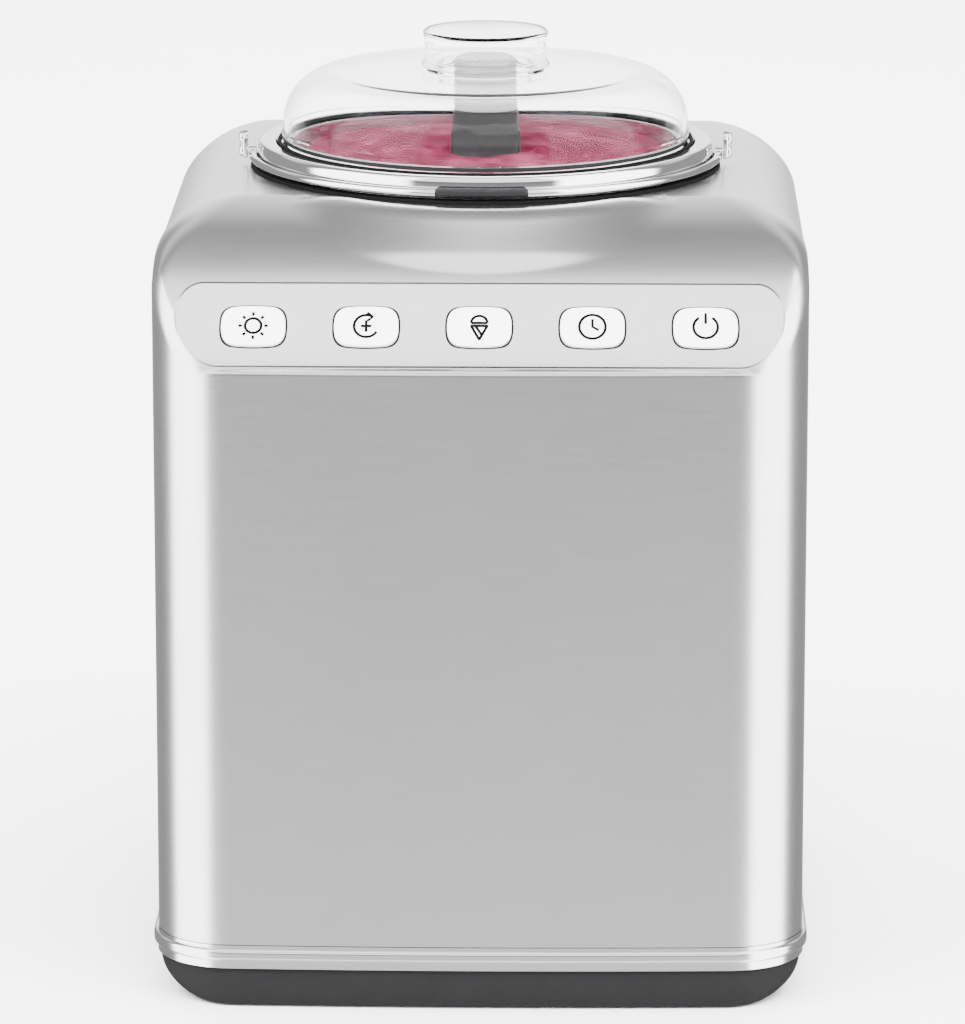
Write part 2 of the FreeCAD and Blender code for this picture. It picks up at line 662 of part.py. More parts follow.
def drive_gear():
    gear = spur_gear(GEAR_TEETH, 177, 189, SHAFT_RADIUS + 0.02, 0)
    hub = ring(SHAFT_RADIUS + 0.02, 11, 188.5, 196)
    lightening = [cylinder(6.5, 176, 190, 18 * math.cos(math.radians(60 * i + 30)),
                           18 * math.sin(math.radians(60 * i + 30))) for i in range(6)]
    return gear.fuse(hub).cut(Part.makeCompound(lightening))


def motor_pinion():
    pinion = spur_gear(PINION_TEETH, 176, 190, 3.0, 180 + 180 / PINION_TEETH)
    pinion.translate(Vector(GEAR_AXES, 0, 0))
    return pinion.fuse(cylinder(4, 150, 192, GEAR_AXES, 0))


def motor():
    can = cylinder(31, 92, GEARBOX_BOTTOM - 0.1, GEAR_AXES, 0)
    can = can.makeFillet(4, [e for e in can.Edges if e.BoundBox.ZMax < 93])
    vents = [box(GEAR_AXES - 2, GEAR_AXES + 2, 25, 40, 105, 125)]
    for i in range(1, 6):
        turned_vent = vents[0].copy()
        turned_vent.rotate(Vector(GEAR_AXES, 0, 0), Vector(0, 0, 1), 60 * i)
        vents.append(turned_vent)
    can = can.cut(Part.makeCompound(vents[:6]))
    return can.cut(cylinder(4.06, 149, 170, GEAR_AXES, 0))


# ---- refrigeration ----
def compressor():
    x, y = COMPRESSOR
    can = cylinder(50, 44, 143, x, y)
    can = can.makeFillet(17, [e for e in can.Edges if e.BoundBox.ZLength < 1e-3])
    belt = cylinder(51.2, 92, 97, x, y)
    plate = cylinder(56, 38.5, 41.5, x, y)
    plate = plate.common(box(x - 44, x + 44, y - 56, y + 56, 30, 50))
    legs = [cylinder(6, 41, 56, x + dx, y + dy) for dx, dy in ((-25, -25), (25, -25), (0, 30))]
    return fused([can, belt, plate] + legs)


def compressor_mounts():
    x, y = COMPRESSOR
    places = ((-30, -38), (30, -38), (-30, 38), (30, 38))
    return Part.makeCompound([cylinder(8, CHASSIS_TOP + 0.1, 38.4, x + dx, y + dy) for dx, dy in places])


def start_relay():
    x, y = COMPRESSOR
    return box(x - 17, x + 17, y - 70, y - 52, 66, 90)


def condenser():
    y0, y1 = FAN_CENTRE[0] - 49, FAN_CENTRE[0] + 49
    fins = [box(101, 123, y - 0.4, y + 0.4, 42, 148) for y in [y0 + 2 + 4.7 * i for i in range(21)]]
    tubes = [rod(3, (112, y0, z), (112, y1, z)) for z in (50, 68, 86, 104, 122, 140)]
    bends = []
    for end, zs in ((y1, (68, 104)), (y0, (50, 86, 122))):
        for z in zs:
            bends.append(rod(3, (112, end, z), (112, end, z + 18)))
            bends += [Part.makeSphere(3, Vector(112, end, z + dz)) for dz in (0, 18)]
    feet = [box(103, 121, y - 3, y + 3, CHASSIS_TOP + 0.1, 43) for y in (y0 + 11.4, y1 - 12.4)]
    return fused(fins + tubes + bends + feet)


def fan_shroud():
    y, z = FAN_CENTRE
    frame = box(84, 99, y - 51, y + 51, z - 51, z + 51)
    frame = frame.makeFillet(6, [e for e in frame.Edges if e.BoundBox.XLength > 10])
    frame = frame.cut(rod(FAN_RADIUS + 1.5, (80, y, z), (102, y, z)))
    spokes = [box(78, 81, y - 3, y + 3, z + 18, z + 54), box(78, 81, y - 3, y + 3, z - 54, z - 18),
              box(78, 81, y + 18, y + 54, z - 3, z + 3)]
    posts = [box(78, 85, y - 3, y + 3, z + 49, z + 54), box(78, 85, y - 3, y + 3, z - 54, z - 49),
             box(78, 85, y + 49, y + 54, z - 3, z + 3)]
    links = [box(84, 88, y - 3, y + 3, z + 47.6, z + 54), box(84, 88, y - 3, y + 3, z - 54, z - 47.6),
             box(84, 88, y + 47.6, y + 54, z - 3, z + 3)]
    holder = rod(19.5, (78, y, z), (81, y, z)).cut(rod(17.1, (70, y, z), (90, y, z)))
    foot_block = box(86, 96, y - 20, y + 20, CHASSIS_TOP + 0.1, z - 50)
    return fused([frame, holder, foot_block] + spokes + posts + links)


def fan():
    y, z = FAN_CENTRE
    hub = rod(15, (86, y, z), (97, y, z))
    shaft = rod(2, (72, y, z), (87, y, z))
    blades = []
    for i in range(7):
        blade = box(-0.8, 0.8, -9, 9, 12, FAN_RADIUS)
        blade.rotate(Vector(0, 0, 0), Vector(0, 0, 1), 62)
        blade.rotate(Vector(0, 0, 0), Vector(1, 0, 0), 360 / 7 * i)
        blade.translate(Vector(91.5, y, z))
        blades.append(blade)
    return fused([hub, shaft] + blades)


def fan_motor():
    y, z = FAN_CENTRE
    body = rod(17, (66, y, z), (82.6, y, z))
    return body.cut(rod(2.06, (71, y, z), (90, y, z)))


def drier():
    x, y = DRIER
    body = cylinder(9, 62, 112, x, y)
    body = body.makeFillet(5, [e for e in body.Edges if e.BoundBox.ZLength < 1e-3])
    return fused([body, cylinder(2.5, 56, 63, x, y), cylinder(2.0, 111, 118, x, y)])


def discharge_line():
    end = FAN_CENTRE[0] + 49 + 3.2
    return bent_tube(2.5, [(-17.4, 62, 120), (112, 62, 120), (112, 62, 140), (112, end, 140)], 7)


def liquid_line():
    end = FAN_CENTRE[0] + 49 + 0.2
    x, y = DRIER
    return bent_tube(2.5, [(112, end, 50), (112, y, 50), (x, y, 50), (x, y, 55.8)], 4)


def capillary_tube():
    x, y = DRIER
    return bent_tube(1.2, [(x, y, 118.2), (x, y, 160), (COIL_RADIUS, 0, 190), (COIL_RADIUS, 0, 209.8)], 12)


def suction_line():
    return bent_tube(3.8, [(-RETURN_RADIUS, 0, 209.8), (-RETURN_RADIUS, 0, 176), (-86, 42, 176), (-86, 42, 143.2)], 12)


def power_board():
    board = box(-100, -20, -121.6, -120, 90, 160)
    parts = [cylinder(9, 96, 120, -84, -111.4), box(-60, -30, -120.1, -98, 96, 124),
             box(-92, -70, -120.1, -108, 132, 150), cylinder(6, 130, 152, -48, -114.5)]
    stand = box(-96, -24, -122.6, -119, CHASSIS_TOP + 0.1, 90.5)
    return fused([board, stand] + parts)


# ---- bowl ----
def bowl():
    outer = BOWL_RADIUS + BOWL_WALL
    floor = BOWL_FLOOR
    bend = BOWL_BEND
    k = bend * math.sqrt(0.5)
    return turned([(CHIMNEY_RADIUS - 1.5, floor - 1), (CHIMNEY_RADIUS - 1.5, CHIMNEY_TOP),
                   (CHIMNEY_RADIUS, CHIMNEY_TOP), (CHIMNEY_RADIUS, floor), (BOWL_RADIUS - bend, floor),
                   ((BOWL_RADIUS - bend + k, floor + bend - k), (BOWL_RADIUS, floor + bend)),
                   (BOWL_RADIUS, BOWL_LIP), (outer, BOWL_LIP), (outer, floor + bend),
                   ((outer - bend - 1 + k * 7 / 6, floor + bend - k * 7 / 6), (outer - bend - 1, floor - 1))])


def rim_ring():
    roll = 2.8
    k = roll * (1 - math.sqrt(0.5))
    inner = BOWL_RADIUS + BOWL_WALL + 0.15
    return turned([(inner, RIM_BOTTOM + 3), (inner, RIM_TOP - 0.5), (inner + 0.5, RIM_TOP),
                   (RIM_RADIUS - roll, RIM_TOP), ((RIM_RADIUS - k, RIM_TOP - k), (RIM_RADIUS, RIM_TOP - roll)),
                   (RIM_RADIUS, RIM_BOTTOM + 0.6), (RIM_RADIUS - 0.6, RIM_BOTTOM), (RIM_RADIUS - 5, RIM_BOTTOM),
                   (RIM_RADIUS - 5, RIM_BOTTOM + 3)])


def bail_pivots():
    lugs = []
    for side in (-1, 1):
        pin = rod(1.5, (side * (RIM_RADIUS + 0.1), 0, BAIL_Z), (side * 99.5, 0, BAIL_Z))
        x0, x1 = sorted((side * 98.8, side * 100.6))
        plate = box(x0, x1, -4.2, 4.2, BAIL_Z - 2.0, BAIL_Z + 9.5)
        plate = plate.makeFillet(2.0, [e for e in plate.Edges if e.BoundBox.XLength > 1])
        bosses = [rod(2.4, (side * 100, 0, z), (side * 102.4, 0, z)) for z in (BAIL_Z + 0.9, BAIL_Z + 6.4)]
        lugs.append(fused([pin, plate] + bosses))
    return Part.makeCompound(lugs)


def bail_handle():
    arc = Part.Arc(Vector(-BAIL_RADIUS, 0, BAIL_Z), Vector(0, -BAIL_RADIUS, BAIL_Z), Vector(BAIL_RADIUS, 0, BAIL_Z))
    profile = Part.Wire(Part.makeCircle(BAIL_WIRE, Vector(-BAIL_RADIUS, 0, BAIL_Z), Vector(0, 1, 0)))
    hoop = Part.Wire(arc.toShape()).makePipeShell([profile], True, True)
    eyes = [rod(BAIL_EYE, (side * (BAIL_RADIUS - 1.6), 0, BAIL_Z), (side * (BAIL_RADIUS + 1.6), 0, BAIL_Z))
            for side in (-1, 1)]
    handle = fused([hoop] + eyes)
    handle = handle.cut(rod(1.58, (-110, 0, BAIL_Z), (110, 0, BAIL_Z)))
    return handle.cut(bail_grip_core(0.05))


GRIP_HALF_ANGLE = 11.0


def bail_grip_core(grow):
    span = math.radians(GRIP_HALF_ANGLE)
    steps = [(BAIL_RADIUS - 1.7 - grow, BAIL_Z - 1.9 - grow), (BAIL_RADIUS + 2.0 + grow, BAIL_Z - 1.9 - grow),
             (BAIL_RADIUS + 2.0 + grow, BAIL_Z + 2.6 + grow), (BAIL_RADIUS - 1.7 - grow, BAIL_Z + 2.6 + grow)]
    face = Part.Face(wire(steps, lambda r, z: Vector(r, 0, z)))
    sweep = 2 * span + 2 * grow / BAIL_RADIUS
    grip = face.revolve(Vector(0, 0, 0), Vector(0, 0, 1), math.degrees(sweep))
    grip.rotate(Vector(0, 0, 0), Vector(0, 0, 1), -90 - math.degrees(sweep) / 2)
    return grip


def bail_grip():
    grip = bail_grip_core(0)
    return grip.makeFillet(0.8, [e for e in grip.Edges if e.Length > 20])


# ---- lid ----
def lid():
    inner = LID_RADIUS - LID_WALL
    bend = LID_SHOULDER
    k = math.sqrt(0.5)
    knee = LID_TOP - bend
    core = bend - LID_WALL
    return turned([(inner, LID_FOOT), (LID_RADIUS, LID_FOOT), (LID_RADIUS, knee),
                   ((LID_RADIUS - bend + bend * k, knee + bend * k), (LID_RADIUS - bend, LID_TOP)),
                   (MOUTH_RADIUS + 4, LID_TOP), (MOUTH_RADIUS + 4, CAP_FOOT - 0.4), (MOUTH_RADIUS, CAP_FOOT - 0.4),
                   (MOUTH_RADIUS, LID_TOP - LID_WALL), (LID_RADIUS - bend, LID_TOP - LID_WALL),
                   ((inner - core + core * k, knee + core * k), (inner, knee))])


def lid_gasket():
    return turned([(LID_RADIUS - 2.2, RIM_TOP + 0.35), (LID_RADIUS - 0.2, RIM_TOP + 0.35),
                   (LID_RADIUS - 0.2, LID_FOOT - 0.05), (LID_RADIUS - 2.2, LID_FOOT - 0.05)])


def filler_cap():
    foot = CAP_FOOT
    return turned([(17.8, foot - 8), (19.6, foot - 8), (19.6, foot), (27.0, foot),
                   ((24.7, foot + 8), (26.2, CAP_TOP - 0.6)), (25.6, CAP_TOP), (0, CAP_TOP),
                   (0, CAP_TOP - 1.6), (23.6, CAP_TOP - 1.6), ((22.6, foot + 7), (24.4, foot + 1.6)),
                   (17.8, foot + 1.6)])


# ---- dasher ----
def bowl_inside(gap):
    # The bowl's inside, a gap smaller all round.
    bend = BOWL_BEND - gap
    k = bend * math.sqrt(0.5)
    knee = BOWL_RADIUS - BOWL_BEND
    return turned([(0, BOWL_FLOOR + gap), (knee, BOWL_FLOOR + gap),
                   ((knee + k, BOWL_FLOOR + BOWL_BEND - k), (BOWL_RADIUS - gap, BOWL_FLOOR + BOWL_BEND)),
                   (BOWL_RADIUS - gap, BATCH_TOP), (0, BATCH_TOP)])


def blade(side, grow):
    reach = BOWL_RADIUS - BLADE_GAP + grow
    plate = box(13, reach, -2 - grow, 2 + grow, BOWL_FLOOR + 1.2 - grow, BATCH_TOP - 5 + grow)
    window = box(24 + grow, reach - 10 - grow, -10, 10, BOWL_FLOOR + 14 + grow, BATCH_TOP - 24 - grow)
    blade_shape = plate.cut(window)
    foot_bar = box(13, reach - 6, -8 - grow, 2 + grow, BOWL_FLOOR + 1.2 - grow, BOWL_FLOOR + 4.2 + grow)
    blade_shape = blade_shape.fuse(foot_bar).common(bowl_inside(BLADE_GAP - grow))
    if side < 0:
        blade_shape.rotate(Vector(0, 0, 0), Vector(0, 0, 1), 180)
    return blade_shape


def dasher_solid(grow):
    sleeve = cylinder(14.5 + grow, BOWL_FLOOR + 1.0 - grow, HEAD_TOP - 10)
    return fused([sleeve, blade(1, grow), blade(-1, grow)])


def paddle():
    foot_z = BATCH_TOP + 0.3
    low, high = HEAD_WIDTH / 2, HEAD_WIDTH / 2 - HEAD_TAPER
    head = Part.makeWedge(-low, foot_z, -low, -high, -high, low, HEAD_TOP, low, high, high)
    head.rotate(Vector(0, 0, 0), Vector(1, 0, 0), 90)
    head = head.makeFillet(1.6, [e for e in head.Edges if e.BoundBox.ZLength > 10])
    groove = prism([(-5, HEAD_TOP + 1), (0, HEAD_TOP - 3.5), (5, HEAD_TOP + 1)],
                   lambda x, z: Vector(x, -20, z), Vector(0, 6.6, 0))
    solid = fused([dasher_solid(0), head]).cut(groove)
    solid = solid.cut(cylinder(CHIMNEY_RADIUS + 0.5, BOWL_FLOOR - 5, CHIMNEY_TOP + 1))
    return solid.cut(hexagon(HEX_FLATS + 0.6, CHIMNEY_TOP, HEAD_TOP - 2.4))


def paddle_cap():
    cap = cylinder(13.0, HEAD_TOP + 0.1, 364)
    cap = cap.makeFillet(2.5, [e for e in cap.Edges if e.BoundBox.ZMin > 363])
    return cap


def sorbet_batch():
    batch = bowl_inside(SLACK).cut(dasher_solid(SLACK))
    return batch.cut(cylinder(14.5 + SLACK, BOWL_FLOOR - 5, BATCH_TOP + 5))


# ---- write every piece ----
PIECES = {
    "body_shell": body_shell, "rear_panel": rear_panel, "rear_screws": rear_screws,
    "bead_trim": bead_trim, "base_tray": base_tray, "base_screws": base_screws,
    "chassis_plate": chassis_plate, "control_strip": control_strip,
    "button_switches": button_switches, "control_board": control_board,
    "power_inlet": power_inlet, "switch_frame": switch_frame, "rocker_switch": rocker_switch,
    "seat_ring": seat_ring, "well": well, "evaporator_coil": evaporator_coil,
    "insulation": insulation, "temperature_sensor": temperature_sensor,
    "gearbox_housing": gearbox_housing, "gearbox_cover": gearbox_cover,
    "upper_bearing": lambda: bearing(222.1, 232), "lower_bearing": lambda: bearing(169.2, 175.5),
    "shaft_seal": shaft_seal, "drive_shaft": drive_shaft, "drive_gear": drive_gear,
    "motor": motor, "motor_pinion": motor_pinion,
    "compressor": compressor, "compressor_mounts": compressor_mounts, "start_relay": start_relay,
    "condenser": condenser, "fan_shroud": fan_shroud, "fan": fan, "fan_motor": fan_motor,
    "drier": drier, "discharge_line": discharge_line, "liquid_line": liquid_line,
    "capillary_tube": capillary_tube, "suction_line": suction_line, "power_board": power_board,
    "bowl": bowl, "rim_ring": rim_ring, "bail_pivots": bail_pivots, "bail_handle": bail_handle,
    "bail_grip": bail_grip, "lid": lid, "lid_gasket": lid_gasket, "filler_cap": filler_cap,
    "paddle": paddle, "paddle_cap": paddle_cap, "sorbet_batch": sorbet_batch,
}
for index, centre in enumerate(button_centres()):
    PIECES["button_%d" % (index + 1)] = lambda x=centre: button(x)
for name, sx, sy in (("front_left", -1, -1), ("front_right", 1, -1), ("rear_left", -1, 1), ("rear_right", 1, 1)):
    PIECES["foot_" + name] = lambda x=sx * FOOT_X, y=sy * FOOT_Y: foot(x, y)

os.makedirs("parts", exist_ok=True)
for name, make in PIECES.items():
    shape = make()
    print("%-20s solids %d valid %s volume %.0f" % (name, len(shape.Solids), shape.isValid(), shape.Volume))
    shape.exportStep("parts/%s.step" % name)
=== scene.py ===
import json
import math

import bmesh
import bpy
import numpy as np
from mathutils import Matrix, Vector

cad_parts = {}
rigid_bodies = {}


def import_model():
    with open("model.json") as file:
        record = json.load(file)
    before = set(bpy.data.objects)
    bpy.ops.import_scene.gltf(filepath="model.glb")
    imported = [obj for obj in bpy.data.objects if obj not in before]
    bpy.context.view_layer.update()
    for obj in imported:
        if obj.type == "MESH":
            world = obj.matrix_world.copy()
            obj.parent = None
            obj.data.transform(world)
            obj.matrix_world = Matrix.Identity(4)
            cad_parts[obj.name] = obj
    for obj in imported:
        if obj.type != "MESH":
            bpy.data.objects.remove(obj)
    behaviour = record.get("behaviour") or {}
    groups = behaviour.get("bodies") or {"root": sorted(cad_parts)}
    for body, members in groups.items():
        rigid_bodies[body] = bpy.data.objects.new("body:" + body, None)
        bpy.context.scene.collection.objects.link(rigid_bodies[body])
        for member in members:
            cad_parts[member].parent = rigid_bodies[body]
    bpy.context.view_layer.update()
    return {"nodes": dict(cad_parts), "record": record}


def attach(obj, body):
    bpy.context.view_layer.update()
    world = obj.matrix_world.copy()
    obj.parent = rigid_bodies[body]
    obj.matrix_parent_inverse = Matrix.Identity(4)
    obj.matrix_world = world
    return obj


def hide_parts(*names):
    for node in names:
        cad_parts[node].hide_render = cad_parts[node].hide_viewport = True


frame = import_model()
nodes = frame["nodes"]
MM = 0.001


# ---- camera ----
def add_camera():
    data = bpy.data.cameras.new("camera")
    data.lens = 226.4
    data.sensor_width = 36.0
    data.clip_start = 0.1
    data.clip_end = 60.0
    camera = bpy.data.objects.new("camera", data)
    camera.location = (0.04395, -2.643, 0.7829)
    camera.rotation_euler = (math.radians(90 - 13.06), 0.0, math.radians(0.98))
    bpy.context.scene.collection.objects.link(camera)
    bpy.context.scene.camera = camera


# ---- materials ----
class Look:
    """A Principled material with a few helpers for its node network."""

    def __init__(self, name, colour, roughness, metallic=0.0, **sockets):
        self.material = bpy.data.materials.new(name)
        self.material.use_nodes = True
        self.tree = self.material.node_tree
        self.shader = self.tree.nodes["Principled BSDF"]
        self.set("Base Color", (*colour, 1.0))
        self.set("Roughness", roughness)
        self.set("Metallic", metallic)
        for key, value in sockets.items():
            self.set(key.replace("_", " "), value)

    def set(self, socket, value):
        self.shader.inputs[socket].default_value = value

    def node(self, kind, values=(), **settings):
        made = self.tree.nodes.new(kind)
        for key, value in settings.items():
            setattr(made, key, value)
        for key, value in dict(values).items():
            made.inputs[key].default_value = value
        return made

    def link(self, source, target):
        self.tree.links.new(source, target)

    def coordinates(self, stretch=(1.0, 1.0, 1.0)):
        place = self.node("ShaderNodeTexCoord")
        scale = self.node("ShaderNodeMapping", {"Scale": stretch})
        self.link(place.outputs["Object"], scale.inputs["Vector"])
        return scale.outputs["Vector"]

    def noise(self, scale, stretch=(1.0, 1.0, 1.0), detail=3.0, rough=0.55):
        made = self.node("ShaderNodeTexNoise", {"Scale": scale, "Detail": detail, "Roughness": rough})
        self.link(self.coordinates(stretch), made.inputs["Vector"])
        return made.outputs["Fac"]

    def ranged(self, factor, low, high, start=0.3, stop=0.7):
        limits = {"From Min": start, "From Max": stop, "To Min": low, "To Max": high}
        made = self.node("ShaderNodeMapRange", limits)
        self.link(factor, made.inputs["Value"])
        return made.outputs["Result"]

    def ramp(self, factor, stops):
        made = self.node("ShaderNodeValToRGB")
        steps = made.color_ramp.elements
        while len(steps) < len(stops):
            steps.new(0.5)
        for step, (place, colour) in zip(steps, stops):
            step.position = place
            step.color = (*colour, 1.0)
        self.link(factor, made.inputs["Fac"])
        return made.outputs["Color"]

    def colour_from(self, factor, stops):
        self.link(self.ramp(factor, stops), self.shader.inputs["Base Color"])

    def roughness_from(self, factor, low, high):
        self.link(self.ranged(factor, low, high), self.shader.inputs["Roughness"])

    def bump(self, height, strength, distance):
        made = self.node("ShaderNodeBump", {"Strength": strength, "Distance": distance})
        self.link(height, made.inputs["Height"])
        free = self.shader.inputs["Normal"]
        if free.is_linked:
            self.link(free.links[0].from_socket, made.inputs["Normal"])
        self.link(made.outputs["Normal"], free)


def shade(colour, amount):
    return tuple(min(1.0, c * amount) for c in colour)


def mottled(look, colour, spread, scale=60.0, stretch=(1.0, 1.0, 1.0)):
    stops = [(0.3, shade(colour, 1 - spread)), (0.7, shade(colour, 1 + spread))]
    look.colour_from(look.noise(scale, stretch), stops)


def brushed(name, colour, roughness, stretch, anisotropy=0.4):
    look = Look(name, colour, roughness, 1.0, Anisotropic=anisotropy)
    mottled(look, colour, 0.02, 14.0)
    grain = look.noise(1500.0, stretch, 4.0)
    look.roughness_from(grain, roughness - 0.03, roughness + 0.03)
    look.bump(grain, 0.03, 0.00003)
    return look.material


def moulded(name, colour, roughness, grain=1400.0, depth=0.12, spread=0.04, **sockets):
    look = Look(name, colour, roughness, 0.0, **sockets)
    mottled(look, colour, spread, 90.0)
    texture = look.noise(grain, detail=4.0)
    look.roughness_from(texture, roughness - 0.06, roughness + 0.08)
    look.bump(texture, depth, 0.00006)
    return look.material


def polished(name, colour, roughness):
    look = Look(name, colour, roughness, 1.0)
    mottled(look, colour, 0.01, 25.0)
    haze = look.noise(320.0, (1.0, 1.0, 2.0), 5.0, 0.7)
    look.roughness_from(haze, roughness * 0.7, roughness * 1.5)
    return look.material


def clear_plastic(name, colour, roughness):
    look = Look(name, colour, roughness, 0.0, IOR=1.16, Transmission_Weight=1.0)
    haze = look.noise(240.0, detail=5.0)
    look.roughness_from(haze, roughness * 0.6, roughness * 1.8)
    look.bump(look.noise(35.0), 0.02, 0.0003)
    return look.material


def iced(name):
    deep, pale = (0.035, 0.003, 0.009), (0.15, 0.035, 0.065)
    look = Look(name, deep, 0.4, 0.0, Subsurface_Weight=0.1, Subsurface_Scale=0.003, Specular_IOR_Level=0.0,
                Subsurface_Radius=(1.0, 0.35, 0.4), IOR=1.33)
    cloud = look.noise(70.0, (1.0, 1.0, 1.6), 6.0, 0.6)
    look.colour_from(cloud, [(0.28, deep), (0.5, (0.075, 0.009, 0.022)), (0.72, pale)])
    crystals = look.noise(900.0, detail=5.0)
    look.roughness_from(crystals, 0.28, 0.6)
    look.bump(crystals, 0.35, 0.0004)
    look.bump(cloud, 0.3, 0.0012)
    return look.material


LOOKS = {
    "satin_silver": brushed("satin_silver", (0.62, 0.62, 0.625), 0.24, (0.03, 1.0, 1.0)),
    "bead_silver": brushed("bead_silver", (0.66, 0.66, 0.665), 0.16, (0.03, 0.03, 1.0)),
    "base_grey": moulded("base_grey", (0.009, 0.009, 0.0095), 0.7, Specular_IOR_Level=0.06),
    "rear_grey": moulded("rear_grey", (0.13, 0.13, 0.135), 0.5, Specular_IOR_Level=0.2),
    "rubber_black": moulded("rubber_black", (0.004, 0.004, 0.004), 0.7, 900.0, 0.25, Specular_IOR_Level=0.04),
    "strip_grey": moulded("strip_grey", (0.27, 0.27, 0.275), 0.42, 1600.0, 0.08, 0.015),
    "button_white": moulded("button_white", (0.86, 0.86, 0.86), 0.3, 1800.0, 0.05, 0.01, Coat_Weight=0.3),
    "print_black": moulded("print_black", (0.003, 0.003, 0.003), 0.6, Specular_IOR_Level=0.03),
    "black_plastic": moulded("black_plastic", (0.005, 0.005, 0.0055), 0.5, Specular_IOR_Level=0.08),
    "circuit_green": moulded("circuit_green", (0.03, 0.16, 0.06), 0.4, 500.0, 0.1, 0.2),
    "zinc_steel": brushed("zinc_steel", (0.62, 0.62, 0.6), 0.34, (0.05, 1.0, 1.0)),
    "cold_aluminium": brushed("cold_aluminium", (0.78, 0.78, 0.8), 0.35, (0.05, 0.05, 1.0)),
    "copper_tube": brushed("copper_tube", (0.72, 0.36, 0.2), 0.3, (1.0, 1.0, 0.1)),
    "foam_cream": moulded("foam_cream", (0.80, 0.72, 0.50), 0.85, 260.0, 0.6, 0.1),
    "gear_white": moulded("gear_white", (0.74, 0.74, 0.69), 0.42),
    "motor_steel": brushed("motor_steel", (0.5, 0.5, 0.51), 0.32, (1.0, 1.0, 0.05)),
    "compressor_black": moulded("compressor_black", (0.015, 0.015, 0.016), 0.35, 700.0, 0.2),
    "bowl_steel": brushed("bowl_steel", (0.7, 0.7, 0.7), 0.26, (0.03, 0.03, 1.0)),
    "rim_chrome": polished("rim_chrome", (0.74, 0.74, 0.75), 0.06),
    "grip_grey": moulded("grip_grey", (0.010, 0.010, 0.011), 0.5, Specular_IOR_Level=0.12),
    "lid_clear": clear_plastic("lid_clear", (1.0, 1.0, 1.0), 0.03),
    "gasket_clear": moulded("gasket_clear", (0.012, 0.012, 0.013), 0.5, Specular_IOR_Level=0.08),
    "dasher_grey": moulded("dasher_grey", (0.018, 0.018, 0.019), 0.5, Specular_IOR_Level=0.1),
    "smoke_plastic": moulded("smoke_plastic", (0.42, 0.42, 0.43), 0.3, 1200.0, 0.05, 0.03,
                             Transmission_Weight=0.6, IOR=1.47),
    "raspberry_ice": iced("raspberry_ice"),
}


def dress(piece, look):
    slots = piece.data.materials
    slots.clear()
    slots.append(LOOKS[look])


def dress_cad_nodes():
    for part in frame["record"]["subparts"]:
        dress(nodes[part["node"]], part["material_slot"])
    dress(nodes["bead_trim"], "bead_silver")


# ---- small builders ----
def finished(name, mesh, body, look, replaces=(), sharp=35.0):
    for face in mesh.polygons:
        face.use_smooth = True
    mesh.set_sharp_from_angle(angle=math.radians(sharp))
    piece = bpy.data.objects.new(name, mesh)
    bpy.context.scene.collection.objects.link(piece)
    dress(piece, look)
    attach(piece, body)
    if replaces:
        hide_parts(*replaces)
    return piece


def rounded(corners, closed=True, steps=5):
    """A flat outline from (a, b, radius) corners, each corner turned into an arc."""
    points = []
    count = len(corners)
    for i, (a, b, radius) in enumerate(corners):
        here = Vector((a, b))
        ends = not closed and i in (0, count - 1)
        if radius <= 0 or ends:
            points.append(here)
            continue
        before = (Vector(corners[i - 1][:2]) - here).normalized()
        after = (Vector(corners[(i + 1) % count][:2]) - here).normalized()
        half = before.angle(after) / 2
        reach = radius / math.tan(half)
        centre = here + (before + after).normalized() * (radius / math.sin(half))
        first = here + before * reach - centre
        last = here + after * reach - centre
        turn = first.angle_signed(last)
        for n in range(steps + 1):
            swing = Matrix.Rotation(-turn * n / steps, 2)
            points.append(centre + swing @ first)
    return points


def lathe_mesh(name, outline, segments=192):
    """A closed solid of revolution about Z from an (r, z) outline in millimetres."""
    mesh = bmesh.new()
    rings = []
    for r, z in outline:
        if r < 1e-6:
            rings.append([mesh.verts.new((0, 0, z * MM))])
            continue
        ring = []
        for n in range(segments):
            angle = 2 * math.pi * n / segments
            ring.append(mesh.verts.new((r * MM * math.cos(angle), r * MM * math.sin(angle), z * MM)))
        rings.append(ring)
    for low, high in zip(rings, rings[1:] + rings[:1]):
        if len(low) == 1 and len(high) == 1:
            continue
        for n in range(segments):
            m = (n + 1) % segments
            if len(low) == 1:
                mesh.faces.new((low[0], high[m], high[n]))
            elif len(high) == 1:
                mesh.faces.new((low[n], low[m], high[0]))
            else:
                mesh.faces.new((low[n], low[m], high[m], high[n]))
    return closed(mesh, name)


def closed(mesh, name):
    bmesh.ops.recalc_face_normals(mesh, faces=mesh.faces[:])
    if mesh.calc_volume(signed=True) < 0:
        bmesh.ops.reverse_faces(mesh, faces=mesh.faces[:])
    data = bpy.data.meshes.new(name)
    mesh.to_mesh(data)
    mesh.free()
    return data


def pad_mesh(mesh, outline, place, depths):
    """A pad with a soft edge: rings of one outline, each (inset, depth) given in millimetres."""
    rings = []
    centre = sum(outline, Vector((0, 0))) / len(outline)
    for inset, depth in depths:
        ring = []
        for point in outline:
            away = point - centre
            away = away * (1 - inset / max(away.length, 1e-6))
            ring.append(mesh.verts.new(place(centre + away, depth)))
        rings.append(ring)
    count = len(outline)
    for low, high in zip(rings, rings[1:]):
        for n in range(count):
            m = (n + 1) % count
            mesh.faces.new((low[n], low[m], high[m], high[n]))
    mesh.faces.new(rings[0][::-1])
    mesh.faces.new(rings[-1])


